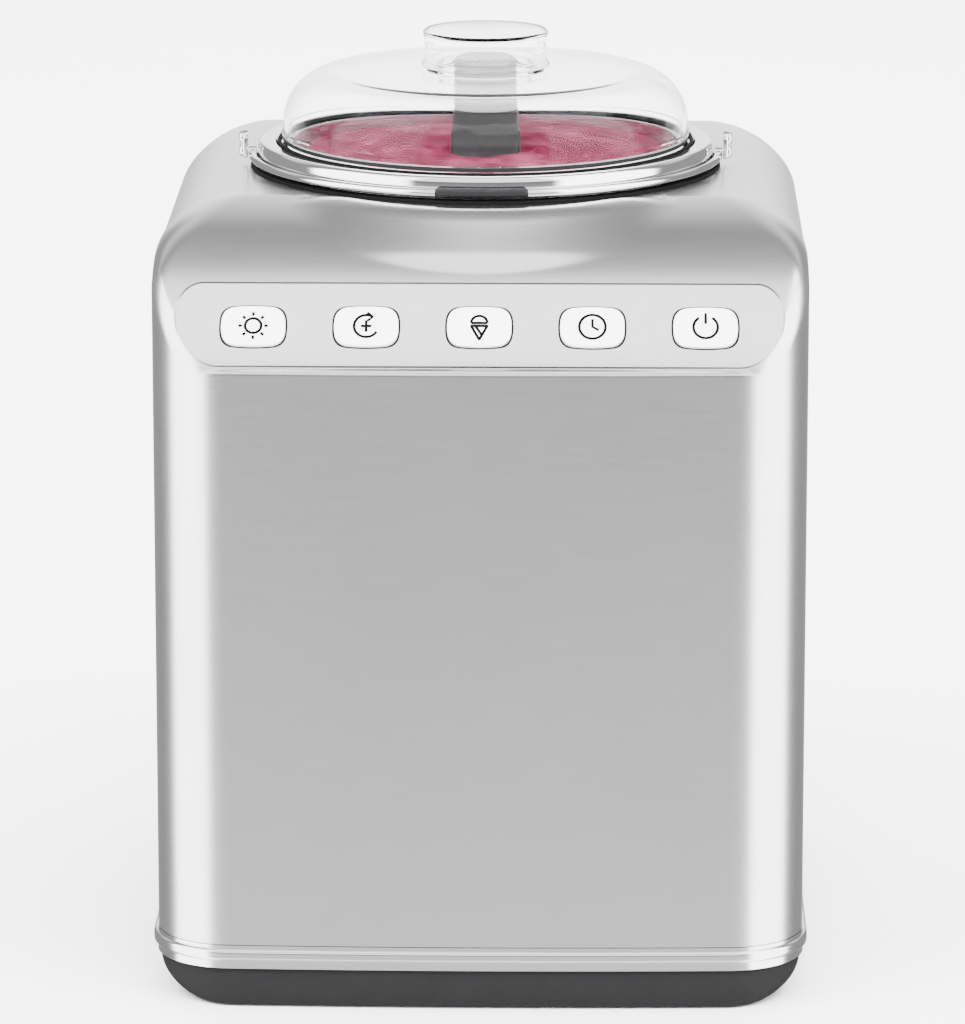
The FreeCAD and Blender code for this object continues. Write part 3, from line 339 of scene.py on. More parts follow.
# ---- stage ----
def add_stage():
    mesh = bmesh.new()
    depth = [(-9.0, 0.0), (5.0, 0.0)]
    for n in range(1, 13):
        angle = math.radians(90 * n / 12)
        depth.append((5.0 + 2.5 * math.sin(angle), 2.5 - 2.5 * math.cos(angle)))
    depth.append((7.5, 8.0))
    rows = [[mesh.verts.new((x, y, z)) for x in (-9.0, 9.0)] for y, z in depth]
    for low, high in zip(rows, rows[1:]):
        mesh.faces.new((low[0], low[1], high[1], high[0]))
    data = bpy.data.meshes.new("floor")
    mesh.to_mesh(data)
    mesh.free()
    for face in data.polygons:
        face.use_smooth = True
    floor = bpy.data.objects.new("floor", data)
    bpy.context.scene.collection.objects.link(floor)
    look = Look("floor_white", (0.86, 0.86, 0.86), 0.6)
    mottled(look, (0.86, 0.86, 0.86), 0.01, 3.0)
    data.materials.append(look.material)
    floor.visible_glossy = False


def soft_light(name, place, aim, size, power, colour=(1.0, 1.0, 1.0)):
    data = bpy.data.lights.new(name, "AREA")
    data.shape = "RECTANGLE"
    data.size, data.size_y = size
    data.energy = power
    data.color = colour
    light = bpy.data.objects.new(name, data)
    light.location = place
    light.rotation_euler = (Vector(aim) - Vector(place)).to_track_quat("-Z", "Y").to_euler()
    bpy.context.scene.collection.objects.link(light)
    return light


SKY_STRENGTH = 10.0
SKY_BANDS = [(-180, 2.0), (-120, 1.5), (-60, 1.8), (-40, 3.0), (-25, 2.6), (-18, 1.5), (-12, 0.75),
             (-6, 0.4), (5, 0.3), (13, 3.0), (38, 3.0), (47, 0.8), (60, 3.6), (84, 3.4), (94, 0.8),
             (122, 0.4), (136, 1.2), (155, 2.0), (168, 3.2), (180, 3.0)]
SKY_PANELS = [((-96, -38), (-70, 50), 4, 9.0), ((38, 96), (-70, 50), 4, 9.5), ((50, 110), (48, 74), 8, 8.0),
              ((-165, -98), (-40, 28), 4, 0.45), ((98, 165), (-40, 28), 4, 0.45)]
SOFTBOXES = [("key", (0.6, -1.6, 2.4), (0.0, 0.0, 0.2), (2.0, 1.2), 230.0),
             ("fill", (-1.2, -1.2, 2.2), (0.0, 0.0, 0.2), (1.6, 1.2), 120.0),
             ("backdrop", (0.0, 1.8, 2.6), (0.0, 1.9, 0.0), (4.5, 2.5), 420.0)]


def add_lights():
    """A studio: bands of light by pitch over the front, (degrees, level), then panels and softboxes."""
    world = bpy.data.worlds.new("studio")
    world.use_nodes = True
    tree = world.node_tree
    sky = tree.nodes["Background"]
    sky.inputs["Strength"].default_value = SKY_STRENGTH

    def node(kind, values=(), **settings):
        made = tree.nodes.new(kind)
        for key, value in settings.items():
            setattr(made, key, value)
        for n, value in enumerate(values):
            if isinstance(value, (int, float)):
                made.inputs[n].default_value = value
            elif value is not None:
                tree.links.new(value, made.inputs[n])
        return made

    def maths(operation, *values):
        return node("ShaderNodeMath", values, operation=operation).outputs[0]

    def step(value, start, stop):
        limits = (value, start, stop, 0.0, 1.0)
        return node("ShaderNodeMapRange", limits, interpolation_type="SMOOTHSTEP").outputs[0]

    def window(value, low, high, soft):
        rise = step(value, math.radians(low - soft), math.radians(low + soft))
        fall = step(value, math.radians(high - soft), math.radians(high + soft))
        return maths("SUBTRACT", rise, fall)

    split = node("ShaderNodeSeparateXYZ", (node("ShaderNodeTexCoord").outputs["Generated"],))
    x, y, z = split.outputs
    forward = maths("MULTIPLY", y, -1.0)
    turn = maths("ARCTAN2", x, forward)
    lift = maths("ARCSINE", z)
    pitch = maths("ARCTAN2", z, forward)
    ramp = node("ShaderNodeValToRGB", (maths("MULTIPLY_ADD", pitch, 0.5 / math.pi, 0.5),))
    stops = ramp.color_ramp.elements
    while len(stops) < len(SKY_BANDS):
        stops.new(0.5)
    for stop, (degrees, level) in zip(stops, SKY_BANDS):
        stop.position = degrees / 360 + 0.5
        stop.color = (*[level / SKY_STRENGTH] * 3, 1.0)
    light = ramp.outputs["Color"]
    for turns, lifts, soft, level in SKY_PANELS:
        mask = maths("MULTIPLY", window(turn, *turns, soft), window(lift, *lifts, soft))
        mix = node("ShaderNodeMix", data_type="RGBA")
        tree.links.new(mask, mix.inputs["Factor"])
        tree.links.new(light, mix.inputs[6])
        mix.inputs[7].default_value = (*[level / SKY_STRENGTH] * 3, 1.0)
        light = mix.outputs[2]
    tree.links.new(light, sky.inputs["Color"])
    bpy.context.scene.world = world
    for name, place, aim, span, power in SOFTBOXES:
        soft_light(name, place, aim, span, power).visible_glossy = False


# ---- case ----
HALF_WIDTH, HALF_DEPTH, CASE_TOP, CASE_BOTTOM = 131.0, 160.0, 319.0, 27.0
FRONT_BULGE, FRONT_CORNER = 2450.0, 32.0
REAR_RUN, REAR_RISE, REAR_SWEEP = 58.6, 92.9, math.radians(30.0)
ARCH_RADIUS = 102.0
ARCH_END = math.radians(84.0)
ARCH_Z = CASE_TOP - ARCH_RADIUS * math.sin(ARCH_END)
LEDGE, LEDGE_TOP = 2.5, 264.0
ARCH_Y = LEDGE - HALF_DEPTH + math.sqrt(ARCH_RADIUS ** 2 - (LEDGE_TOP - ARCH_Z) ** 2)
WALL = 2.5
MOUTH = 86.0
COLLAR_BOTTOM = 296.0
CORE_R, CORE_Z = 70.0, 240.0
REAR_TOP_Y, REAR_TOP_Z, REAR_TOP_RUN, REAR_TOP_RISE = 98.7, 271.8, 64.0, 47.2
CREASE_SOFT = 2.6
CHEEK_SOFT = 4.9
SHOULDER_RUN, SHOULDER_RISE = 29.5, 16.5
SWELL_FROM, SWELL_OVER = 50.0, 40.0
LEDGE_SOFT = 0.3
COLLAR_FOOT, COLLAR_SOFT, COLLAR_BLEND = 106.5, 5.0, 8.5
BARELY = 0.01
RAY_REACH, HALVINGS, AROUND = 170.0, 34, 720
BUTTON_PITCH = 44.7
VENTS, FIRST_VENT, VENT_PITCH, VENT_Z = 14, -100.0, 8.0, 90.0


def smoothstep(t):
    t = np.clip(t, 0.0, 1.0)
    return t * t * (3 - 2 * t)


def plan_samples():
    """Points and outward normals of half the case's outline in plan, from the front middle to the rear."""
    centre = FRONT_BULGE - HALF_DEPTH
    cx = HALF_WIDTH - FRONT_CORNER
    cy = centre - math.sqrt((FRONT_BULGE - FRONT_CORNER) ** 2 - cx ** 2)
    lean = math.asin(cx / (FRONT_BULGE - FRONT_CORNER))
    c, s = math.cos(REAR_SWEEP), math.sin(REAR_SWEEP)
    second = (REAR_RUN - REAR_RISE * (1 - c) / s) / (c - (1 - s) * (1 - c) / s)
    first = (REAR_RISE - second * (1 - s)) / s
    y0 = HALF_DEPTH - REAR_RISE
    joint = (HALF_WIDTH - first * (1 - c), y0 + first * s)
    arcs = [(0.0, centre, FRONT_BULGE, -90.0, -90.0 + math.degrees(lean), 60),
            (cx, cy, FRONT_CORNER, -90.0 + math.degrees(lean), 0.0, 160),
            (HALF_WIDTH - first, y0, first, 0.0, 30.0, 60),
            (joint[0] - second * c, joint[1] - second * s, second, 30.0, 90.0, 60)]
    points, normals = [], []
    for x, y, r, start, stop, steps in arcs:
        arc_angles = np.radians(np.linspace(start, stop, steps))
        arc_points = [(x + r * math.cos(a), y + r * math.sin(a)) for a in arc_angles]
        arc_normals = [(math.cos(a), math.sin(a)) for a in arc_angles]
        if points:
            shares = np.linspace(0.02, 0.98, 80)
            points += [tuple(np.array(points[-1]) * (1 - t) + np.array(arc_points[0]) * t) for t in shares]
            normals += [arc_normals[0]] * len(shares)
        points += arc_points
        normals += arc_normals
    flat = np.linspace(points[-1][0] * 0.98, 0.0, 60)
    points += [(x, HALF_DEPTH) for x in flat]
    normals += [(0.0, 1.0)] * len(flat)
    return np.array(points), np.array(normals)


def wall_at(turns):
    """For each direction: the wall's distance, how square it is to it, and how far it faces sideways."""
    points, normals = plan_samples()
    around = np.arctan2(points[:, 0], -points[:, 1])
    reach = np.hypot(points[:, 0], points[:, 1])
    square = (points * normals).sum(1) / reach
    keys = np.abs(turns)
    return [np.interp(keys, around, values) for values in (reach, square, normals[:, 0])]


def joined(a, b, reach):
    """The smaller of two distances, blended where they are nearly equal."""
    return np.minimum(a, b) - np.maximum(reach - np.abs(a - b), 0.0) ** 2 / (4 * reach)


def top_depth(y, z):
    """How far a point lies under the arch, the flat top or the rounded rear."""
    front = ARCH_RADIUS - np.hypot(y - ARCH_Y, np.maximum(z - ARCH_Z, 0.0))
    ledge = LEDGE_TOP - z
    front = -joined(-front, -ledge, LEDGE_SOFT)
    front = np.where(y < ARCH_Y, np.minimum(front, CASE_TOP - z), CASE_TOP - z)
    run = np.maximum(y - REAR_TOP_Y, 0.0) / REAR_TOP_RUN
    rise = np.maximum(z - REAR_TOP_Z, 0.0) / REAR_TOP_RISE
    return np.where(y > REAR_TOP_Y, REAR_TOP_RISE * (1 - np.hypot(run, rise)), front)


def outside_case(r, z, turns, wall, inset):
    """Above zero outside the case: its walls and top with soft edges, joined to the collar."""
    reach, square, sideways = wall
    y = -r * np.cos(turns)
    from_wall = (reach - r) * square - inset
    from_top = top_depth(y, z) - inset
    climb = np.degrees(np.arctan2(z - ARCH_Z, np.maximum(ARCH_Y - y, 0.0)))
    swell = smoothstep((climb - SWELL_FROM) / SWELL_OVER)
    side = sideways ** 2
    run = np.maximum(CREASE_SOFT + (CHEEK_SOFT + SHOULDER_RUN * swell) * side - inset, 0.4)
    rise = np.maximum(CREASE_SOFT + (CHEEK_SOFT + SHOULDER_RISE * swell) * side - inset, 0.4)
    edge = np.hypot(np.maximum(run - from_wall, 0) / run, np.maximum(rise - from_top, 0) / rise)
    case = (edge - 1) * rise
    flat = z - CASE_TOP + inset
    cone = (flat + r - COLLAR_FOOT) * math.sqrt(0.5)
    collar = -joined(-flat, -cone, COLLAR_SOFT)
    collar = np.maximum(collar, COLLAR_BOTTOM - z)
    blend = COLLAR_BLEND * smoothstep((-75.0 - y) / 15.0) * smoothstep((r - 98.0) / 6.0)
    reach = BARELY + blend * smoothstep((z - 294.0) / 11.0)
    return joined(case, collar, reach)


def case_rows(turns, climbs, levels, inset):
    """Rings of (x, y, z) from the bowl's opening out over the top and down the walls."""
    wall = [w[:, None] for w in wall_at(turns)]
    spread = turns[:, None]
    near = np.zeros((len(turns), len(climbs)))
    far = np.full_like(near, RAY_REACH)
    for _ in range(HALVINGS):
        middle = (near + far) / 2
        r = CORE_R + middle * np.cos(climbs)
        z = CORE_Z + middle * np.sin(climbs)
        out = outside_case(r, z, spread, wall, inset) > 0
        far = np.where(out, middle, far)
        near = np.where(out, near, middle)
    r = CORE_R + near * np.cos(climbs)
    z = CORE_Z + near * np.sin(climbs)
    down = np.repeat((wall[0] - inset / wall[1]), len(levels), 1)
    r = np.hstack([r, down])
    z = np.hstack([z, np.repeat(np.array(levels)[None, :], len(turns), 0)])
    return np.stack([r * np.sin(spread), -r * np.cos(spread), z], -1)


def case_mesh():
    turns = np.linspace(-math.pi, math.pi, AROUND, endpoint=False)

    def climbs(inset, *spans):
        top = math.atan2(CASE_TOP - inset - CORE_Z, MOUTH - CORE_R)
        rows, start = [], top
        for stop, steps in spans:
            rows.append(np.linspace(start, math.radians(stop), steps, endpoint=stop == -4.0))
            start = math.radians(stop)
        return np.concatenate(rows)

    outer_levels = [215.0, 180.0, 140.0, 100.0, 60.0, CASE_BOTTOM]
    outer = case_rows(turns, climbs(0, (24.0, 84), (10.0, 64), (-4.0, 14)), outer_levels, 0.0)
    inner = case_rows(turns, climbs(WALL, (-4.0, 36)), [180.0, 100.0, CASE_BOTTOM], WALL)
    mesh = bmesh.new()
    grids = []
    for rows in (outer, inner):
        grids.append([[mesh.verts.new(Vector(p) * MM) for p in column] for column in rows])
    for grid in grids:
        for here, there in zip(grid, grid[1:] + grid[:1]):
            for n in range(len(here) - 1):
                mesh.faces.new((here[n], here[n + 1], there[n + 1], there[n]))
    for end in (0, -1):
        for n in range(AROUND):
            m = (n + 1) % AROUND
            mesh.faces.new((grids[0][n][end], grids[0][m][end], grids[1][m][end], grids[1][n][end]))
    return closed(mesh, "case")


STRIP_HALF, STRIP_LOW, STRIP_HIGH, STRIP_TOP_RADIUS = 120.3, 264.9, 293.5, 10.5
STRIP_DEEP, STRIP_FACE = -1.2, 0.05


def add_tray():
    """The plinth: its lower edge rolls in under the case, more at the sides than at the front."""
    top, low, floor, wall = 17.0, 0.6, 3.0, 3.0
    points, normals = plan_samples()
    keep = np.concatenate([np.arange(0, len(points), 3), [len(points) - 1]])
    points, normals = points[keep], normals[keep]
    points = np.concatenate([points, points[-2:0:-1] * (-1, 1)])
    normals = np.concatenate([normals, normals[-2:0:-1] * (-1, 1)])
    run = 3.5 + 12.5 * normals[:, :1] ** 2
    mesh = bmesh.new()

    def loop(inset, share, z):
        ring = points - normals * (inset + run * share)
        return [mesh.verts.new(Vector((x, y, z)) * MM) for x, y in ring]

    loops = [loop(1.6, 0, top), loop(1.15, 0, top - 0.15), loop(1.0, 0, top - 0.6)]
    for n in range(1, 19):
        angle = math.pi / 2 * n / 18
        loops.append(loop(1.0, 1 - math.cos(angle), top - 0.6 - (top - 0.6 - low) * math.sin(angle)))
    loops += [loop(3.0, 1, low), loop(3.4, 1, low + 0.4), loop(3.6, 1, floor)]
    inside = [loop(1.0 + wall, 1, floor + wall), loop(4.0 + wall, 0, floor + wall + 3.5)]
    inside.append(loop(1.0 + wall, 0, top))
    count = len(points)
    for group in (loops, inside, [inside[-1], loops[0]]):
        for near, far in zip(group, group[1:]):
            for k in range(count):
                m = (k + 1) % count
                mesh.faces.new((near[k], near[m], far[m], far[k]))
    mesh.faces.new(loops[-1])
    mesh.faces.new(inside[0][::-1])
    finished("plinth", closed(mesh, "plinth"), "housing", "base_grey", replaces=["base_tray"], sharp=40)


def strip_width(z, grow):
    half = STRIP_HALF + grow
    low, high, top_r = STRIP_LOW - grow, STRIP_HIGH + grow, STRIP_TOP_RADIUS + grow
    low_r = high - low - top_r
    waist = low + low_r
    r, away = (low_r, waist - z) if z < waist else (top_r, z - waist)
    return half - r + math.sqrt(max(r * r - away * away, 0.0))


def recess_mesh():
    mesh = bmesh.new()
    rows = []
    low, high, steps = STRIP_LOW - 0.5, STRIP_HIGH + 0.7, 60
    for n in range(steps + 1):
        z = (low + high) / 2 - (high - low) / 2 * math.cos(math.pi * n / steps)
        x = strip_width(z, 0.7)
        radii = (ARCH_RADIUS - 1.3, ARCH_RADIUS + 4.0)
        depth = [ARCH_Y - math.sqrt(r * r - (z - ARCH_Z) ** 2) for r in radii]
        rows.append([mesh.verts.new(Vector(p) * MM) for p in
                     ((-x, depth[0], z), (x, depth[0], z), (x, depth[1], z), (-x, depth[1], z))])
    for low_row, high_row in zip(rows, rows[1:]):
        for k in range(4):
            m = (k + 1) % 4
            mesh.faces.new((low_row[k], low_row[m], high_row[m], high_row[k]))
    mesh.faces.new(rows[0][::-1])
    mesh.faces.new(rows[-1])
    return closed(mesh, "recess")


def strip_mesh():
    mesh = bmesh.new()
    rows = []
    soft, steps = 0.4, 72
    for n in range(steps + 1):
        z = (STRIP_LOW + STRIP_HIGH) / 2 - (STRIP_HIGH - STRIP_LOW) / 2 * math.cos(math.pi * n / steps)
        edge = min(z - STRIP_LOW, STRIP_HIGH - z)
        drop = 0.35 * max(0.0, 1 - edge / soft) ** 2
        x = strip_width(z, 0.0)
        side = [(x, STRIP_DEEP), (x, STRIP_FACE - 0.35), (x - 0.06, STRIP_FACE - 0.15),
                (x - 0.18, STRIP_FACE - 0.04), (x - soft, STRIP_FACE)]
        section = side + [(-a, d) for a, d in side[::-1]]
        row = []
        for a, depth in section:
            r = ARCH_RADIUS + (depth if depth == STRIP_DEEP else depth - drop)
            row.append(mesh.verts.new(Vector((a, ARCH_Y - math.sqrt(r * r - (z - ARCH_Z) ** 2), z)) * MM))
        rows.append(row)
    count = len(rows[0])
    for low_row, high_row in zip(rows, rows[1:]):
        for k in range(count):
            m = (k + 1) % count
            mesh.faces.new((low_row[k], low_row[m], high_row[m], high_row[k]))
    mesh.faces.new(rows[0][::-1])
    mesh.faces.new(rows[-1])
    return closed(mesh, "strip")


def holes_mesh():
    mesh = bmesh.new()
    for n in range(5):
        place = button_place((n - 2) * BUTTON_PITCH)
        pad_mesh(mesh, button_outline(13.55, 9.55), place, [(0, -6.0), (0, 4.0)])
    slot = [Vector(p) for p in arc(0, 36.4, 1.6, 0, 180, 12) + arc(0, -36.4, 1.6, 180, 360, 12)]
    for side in (-1, 1):
        for n in range(VENTS):
            y = FIRST_VENT + VENT_PITCH * n

            def place(point, depth, side=side, y=y):
                return Vector((side * depth, y + point[0], VENT_Z + point[1])) * MM

            pad_mesh(mesh, slot, place, [(0, 120.0), (0, 140.0)])
    window = rounded([(-66, 40, 4), (66, 40, 4), (66, 250, 4), (-66, 250, 4)])
    pad_mesh(mesh, window, lambda p, depth: Vector((p[0], depth, p[1])) * MM, [(0, 150.0), (0, 170.0)])
    return closed(mesh, "holes")


def cut_mesh(mesh, *cutters):
    """The mesh left when each cutter mesh is taken away in turn."""
    scene = bpy.context.scene.collection.objects
    for cutter_mesh in cutters:
        block, cutter = [bpy.data.objects.new("work", data) for data in (mesh, cutter_mesh)]
        for piece in (block, cutter):
            scene.link(piece)
        step = block.modifiers.new("cut", "BOOLEAN")
        step.operation = "DIFFERENCE"
        step.solver = "MANIFOLD"
        step.object = cutter
        bpy.context.view_layer.update()
        mesh = bpy.data.meshes.new_from_object(block.evaluated_get(bpy.context.evaluated_depsgraph_get()))
        for piece in (block, cutter):
            bpy.data.objects.remove(piece)
    return mesh


def add_case():
    mesh = cut_mesh(case_mesh(), recess_mesh(), holes_mesh())
    finished("metal_case", mesh, "housing", "satin_silver", replaces=["body_shell"], sharp=40)
    strip = cut_mesh(strip_mesh(), holes_mesh())
    finished("button_strip", strip, "housing", "strip_grey", replaces=["control_strip"], sharp=40)


# ---- bowl rim, bail and lid ----
BAIL_Z = 323.2


def add_rim():
    outline = rounded([(81.15, 324.6, 0.3), (89.4, 324.6, 0.3), (89.4, 321.6, 0.3), (94.4, 321.6, 0.8),
                       (94.4, 328.9, 2.3), (92.2, 329.5, 1.6), (87.4, 329.1, 0.8), (86.6, 328.5, 0.6),
                       (82.4, 328.5, 0.8), (81.15, 329.0, 0.4)])
    finished("bowl_rim", lathe_mesh("bowl_rim", outline, 256), "bowl", "rim_chrome", replaces=["rim_ring"])
    seal = rounded([(84.7, 328.55, 0.2), (86.5, 328.55, 0.2), (86.3, 329.6, 0.4), (84.9, 329.6, 0.4)])
    finished("rim_seal", lathe_mesh("rim_seal", seal, 256), "bowl", "rubber_black")
    liner = rounded([(80.4, 322.4, 0.1), (81.1, 322.4, 0.1), (81.1, 328.3, 0.2), (80.4, 328.3, 0.2)])
    finished("rim_liner", lathe_mesh("rim_liner", liner, 256), "bowl", "rubber_black")


def add_lid():
    inside, outside = 82.3, 84.5
    shell = rounded([(inside, 331.5, 0.3), (outside, 331.5, 0.3), (outside, 333.6, 0.2),
                     (outside - 0.5, 334.0, 0.2), (outside - 0.5, 358.3, 21.5), (24.0, 358.3, 0.5),
                     (24.0, 359.7, 0.5), (20.0, 359.7, 0.5), (20.0, 356.1, 0.5),
                     (inside, 356.1, 19.5)], steps=14)
    finished("clear_lid", lathe_mesh("clear_lid", shell, 256), "lid", "lid_clear", replaces=["lid"])


def add_filler_cap():
    outline = rounded([(17.8, 352.1, 0.4), (19.6, 352.1, 0.4), (19.6, 360.1, 0.4), (27.0, 360.1, 0.7),
                       (25.3, 363.5, 6.0), (24.8, 368.4, 9.0), (26.2, 375.0, 0.9), (0, 375.0, 0),
                       (0, 373.4, 0), (24.3, 373.4, 0.7), (23.1, 368.0, 8.0), (23.6, 364.0, 5.0),
                       (24.8, 361.7, 0.5), (17.8, 361.7, 0.5)], steps=7)
    finished("clear_filler_cap", lathe_mesh("clear_filler_cap", outline, 192), "filler_cap", "lid_clear",
             replaces=["filler_cap"])


def add_lugs():
    """A small chrome plate with two domed studs at each end of the handle."""
    mesh = bmesh.new()
    inner, face, tip = 98.8, 100.7, 102.4
    plate = rounded([(-4.2, -2.0, 2.0), (4.2, -2.0, 2.0), (4.2, 9.5, 3.6), (-4.2, 9.5, 3.6)], steps=8)
    plate_depths = [(0.5, inner), (0.1, inner + 0.15), (0.0, inner + 0.5), (0.0, face - 0.5),
                    (0.15, face - 0.15), (0.5, face)]
    stud_depths = [(0.0, inner + 0.6), (0.0, tip - 1.0), (0.12, tip - 0.6), (0.5, tip - 0.25),
                   (1.1, tip - 0.06), (1.7, tip)]
    for side in (-1, 1):

        def place(point, depth, side=side):
            return Vector((side * depth, point[0], BAIL_Z + point[1])) * MM

        pad_mesh(mesh, plate, place, plate_depths)
        for z in (0.9, 6.4):
            pad_mesh(mesh, [Vector(p) for p in arc(0, z, 2.65, 0, 360, 40)[:-1]], place, stud_depths)
    lugs = closed(mesh, "handle_lugs")
    finished("handle_lugs", lugs, "bowl", "rim_chrome", replaces=["bail_pivots"], sharp=50)


def add_grip():
    middle, low, high = 96.95, 322.2, 325.4
    section = rounded([(-1.85, low, 0.9), (1.85, low, 0.9), (2.05, high, 1.2), (-1.6, high, 1.1)], steps=6)
    mesh = bmesh.new()
    rings = []
    span, stations = math.radians(11.0), 48
    for n in range(stations + 1):
        along = 2 * n / stations - 1
        shrink = 1 - 0.35 * max(0.0, (abs(along) - 0.93) / 0.07) ** 2
        waist = 1 - 0.06 * math.cos(along * math.pi * 9) ** 8 * (abs(along) < 0.8)
        angle = -math.pi / 2 + along * span
        ring = []
        for a, z in section:
            reach = (middle + a * shrink * waist) * MM
            height = ((low + high) / 2 + (z - (low + high) / 2) * shrink * waist) * MM
            ring.append(mesh.verts.new((reach * math.cos(angle), reach * math.sin(angle), height)))
        rings.append(ring)
    count = len(section)
    for near, far in zip(rings, rings[1:]):
        for n in range(count):
            m = (n + 1) % count
            mesh.faces.new((near[n], near[m], far[m], far[n]))
    mesh.faces.new(rings[0][::-1])
    mesh.faces.new(rings[-1])
    finished("carry_grip", closed(mesh, "carry_grip"), "bail", "grip_grey", replaces=["bail_grip"], sharp=50)


# ---- frozen batch ----
def add_swirl():
    inner, outer, rings, spokes = 15.0, 78.6, 90, 300
    mesh = bmesh.new()
    top = []
    for i in range(rings + 1):
        share = i / rings
        r = inner + (outer - inner) * share
        row = []
        for k in range(spokes):
            a = 2 * math.pi * k / spokes
            wave = math.sin(3 * a + r * 0.16)
            ridge = math.sin(r * 0.55 + 2 * a + 0.9 * math.sin(3 * a + 0.4))
            fold = math.sin(5 * a - r * 0.31) * math.sin(r * 0.23 + 1.3 * math.sin(2 * a))
            lift = 2.6 + 0.9 * wave + 0.8 * abs(ridge) + 0.7 * fold
            edge = min(1.0, share * 9, (1 - share) * 7)
            z = 322.15 + max(0.0, lift) * math.sin(edge * math.pi / 2)
            row.append(mesh.verts.new((r * MM * math.cos(a), r * MM * math.sin(a), z * MM)))
        top.append(row)
    under = [[mesh.verts.new((v.co.x, v.co.y, 322.05 * MM)) for v in row] for row in (top[0], top[-1])]
    for low, high in [*zip(top, top[1:]), (top[-1], under[1]), (under[1], under[0]), (under[0], top[0])]:
        for k in range(spokes):
            m = (k + 1) % spokes
            mesh.faces.new((low[k], low[m], high[m], high[k]))
    finished("sorbet_swirl", closed(mesh, "sorbet_swirl"), "dasher", "raspberry_ice", sharp=60)


# ---- buttons ----
BUTTON_Z = 279.0
BUTTON_TILT = math.asin((BUTTON_Z - ARCH_Z) / ARCH_RADIUS)
OUTWARD = Vector((0, -math.cos(BUTTON_TILT), math.sin(BUTTON_TILT)))
UPWARD = Vector((0, math.sin(BUTTON_TILT), math.cos(BUTTON_TILT)))
BUTTON_FACE = 0.8


def button_place(x):
    origin = Vector((x, ARCH_Y - ARCH_RADIUS * math.cos(BUTTON_TILT), BUTTON_Z))

    def place(point, proud):
        return (origin + Vector((point[0], 0, 0)) + UPWARD * point[1] + OUTWARD * proud) * MM

    return place


def button_outline(half, high):
    side, top, steps = half - 1.3, high - 1.0, 10
    cut = 4.6
    quarter = []
    for n in range(steps + 1):
        v = (1 - cut / top) * n / steps
        quarter.append((half - (half - side) * v * v, v * top))
    u = 1 - cut / side
    start, end = quarter[-1], (u * side, high - (high - top) * u * u)
    for n in range(1, 9):
        t = n / 9
        quarter.append(tuple((1 - t) ** 2 * a + 2 * t * (1 - t) * c + t * t * b
                             for a, b, c in zip(start, end, (side + 0.25, top + 0.25))))
    for n in range(steps + 1):
        u_now = (1 - cut / side) * (1 - n / steps)
        quarter.append((u_now * side, high - (high - top) * u_now * u_now))
    left = [(-a, b) for a, b in quarter[-2::-1]]
    upper = quarter + left
    lower = [(a, -b) for a, b in upper[-2:0:-1]]
    return [Vector(p) for p in upper + lower]


def add_gap_shade(n):
    """A black ring deep in the gap round a button: painted shade standing in for the gap's shadow."""
    place = button_place((n - 2) * BUTTON_PITCH)
    mesh = bmesh.new()
    loops = []
    outer, inner, deep, shallow = (13.45, 9.45), (12.87, 8.87), -3.2, -0.55
    for (half, high), depth in ((outer, deep), (outer, shallow), (inner, shallow), (inner, deep)):
        loops.append([mesh.verts.new(place(point, depth)) for point in button_outline(half, high)])
    count = len(loops[0])
    for near, far in zip(loops, loops[1:] + loops[:1]):
        for k in range(count):
            m = (k + 1) % count
            mesh.faces.new((near[k], near[m], far[m], far[k]))
    name = f"button_gap_shade_{n + 1}"
    # black plastic so the gap reads dark: painted shade
    finished(name, closed(mesh, name), "housing", "black_plastic", sharp=50)


def add_buttons():
    outline = button_outline(12.75, 8.75)
    depths = [(0.0, -3.8), (0.0, 0.2), (0.05, 0.45), (0.2, 0.65), (0.5, 0.76), (1.0, BUTTON_FACE)]
    for n in range(5):
        mesh = bmesh.new()
        pad_mesh(mesh, outline, button_place((n - 2) * BUTTON_PITCH), depths)
        name = f"button_{n + 1}"
        push = closed(mesh, f"push_{name}")
        finished(f"push_{name}", push, name, "button_white", replaces=[name], sharp=50)
        add_print(n)
        # painted shade: a black ring in the gap round the button
        add_gap_shade(n)


def arc(cx, cy, r, start, stop, steps=28):
    angles = [math.radians(start + (stop - start) * n / steps) for n in range(steps + 1)]
    return [(cx + r * math.cos(a), cy + r * math.sin(a)) for a in angles]


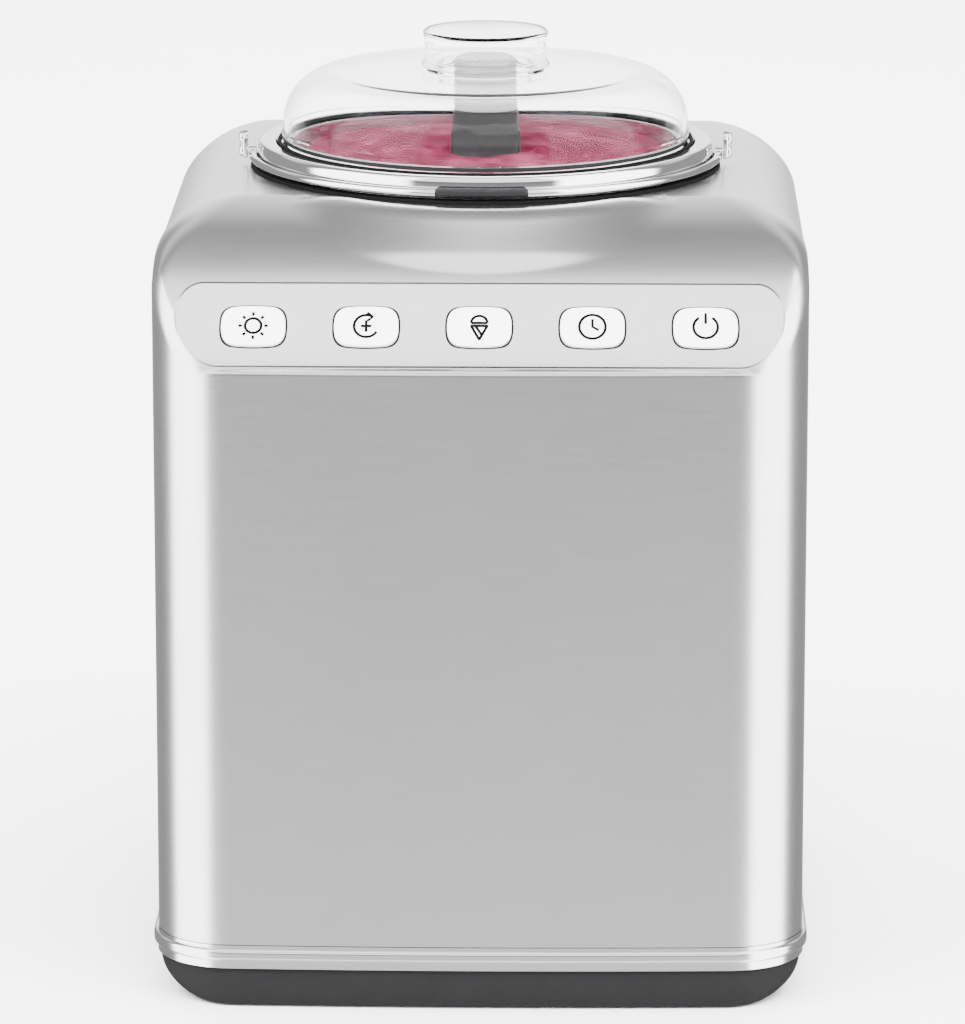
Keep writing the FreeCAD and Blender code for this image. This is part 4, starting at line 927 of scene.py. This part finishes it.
def stroke(mesh, path, width, place):
    """A printed line: a thin closed ribbon along a path on the button's face."""
    loop = (Vector(path[0]) - Vector(path[-1])).length < 1e-6
    points = [Vector(p) for p in (path[:-1] if loop else path)]
    count = len(points)
    rows = []
    for n, point in enumerate(points):
        before = points[n - 1] if n or loop else point
        after = points[(n + 1) % count] if n < count - 1 or loop else point
        along = (after - before).normalized()
        side = Vector((-along.y, along.x)) * width / 2
        rows.append([mesh.verts.new(place(point + side * s, BUTTON_FACE + z))
                     for s, z in ((-1, -0.02), (1, -0.02), (1, 0.05), (-1, 0.05))])
    pairs = list(zip(rows, rows[1:]))
    if loop:
        pairs.append((rows[-1], rows[0]))
    else:
        mesh.faces.new(rows[0][::-1])
        mesh.faces.new(rows[-1])
    for near, far in pairs:
        for k in range(4):
            m = (k + 1) % 4
            mesh.faces.new((near[k], near[m], far[m], far[k]))


def symbols(n):
    if n == 0:
        rays = [arc(0, 0, 3.2, 0, 360)]
        for k in range(8):
            a = math.radians(45 * k)
            rays.append([(4.3 * math.cos(a), 4.3 * math.sin(a)), (5.9 * math.cos(a), 5.9 * math.sin(a))])
        return rays
    if n == 1:
        return [arc(0, 0, 4.8, 60, 330), [(0.4, 5.9), (2.6, 4.1), (0.6, 2.3)], [(0, -2.6), (0, 2.6)],
                [(-2.1, 0), (2.1, 0)]]
    if n == 2:
        return [[(-3.6, 0.2), (3.6, 0.2)], [(-3.2, 0.2), (0.1, -6.0)], [(3.2, 0.2), (-0.1, -6.0)],
                [(-1.4, 0.0), (0.9, -3.6)], arc(0, 1.4, 3.2, 0, 180), [(-3.2, 1.5), (3.2, 1.5)]]
    if n == 3:
        return [arc(0, 0, 5.2, 0, 360), [(0, 3.4), (0, 0), (2.5, -1.5)]]
    return [arc(0, 0, 4.8, 122, 418), [(0, 1.4), (0, 6.2)]]


def add_print(n):
    mesh = bmesh.new()
    for path in symbols(n):
        stroke(mesh, path, 1.2, button_place((n - 2) * BUTTON_PITCH))
    finished(f"symbol_{n + 1}", closed(mesh, f"symbol_{n + 1}"), f"button_{n + 1}", "print_black",
             sharp=30)


add_camera()
add_stage()
add_lights()
dress_cad_nodes()
add_case()
add_tray()
add_rim()
add_lid()
add_filler_cap()
add_grip()
add_lugs()
add_swirl()
add_buttons()
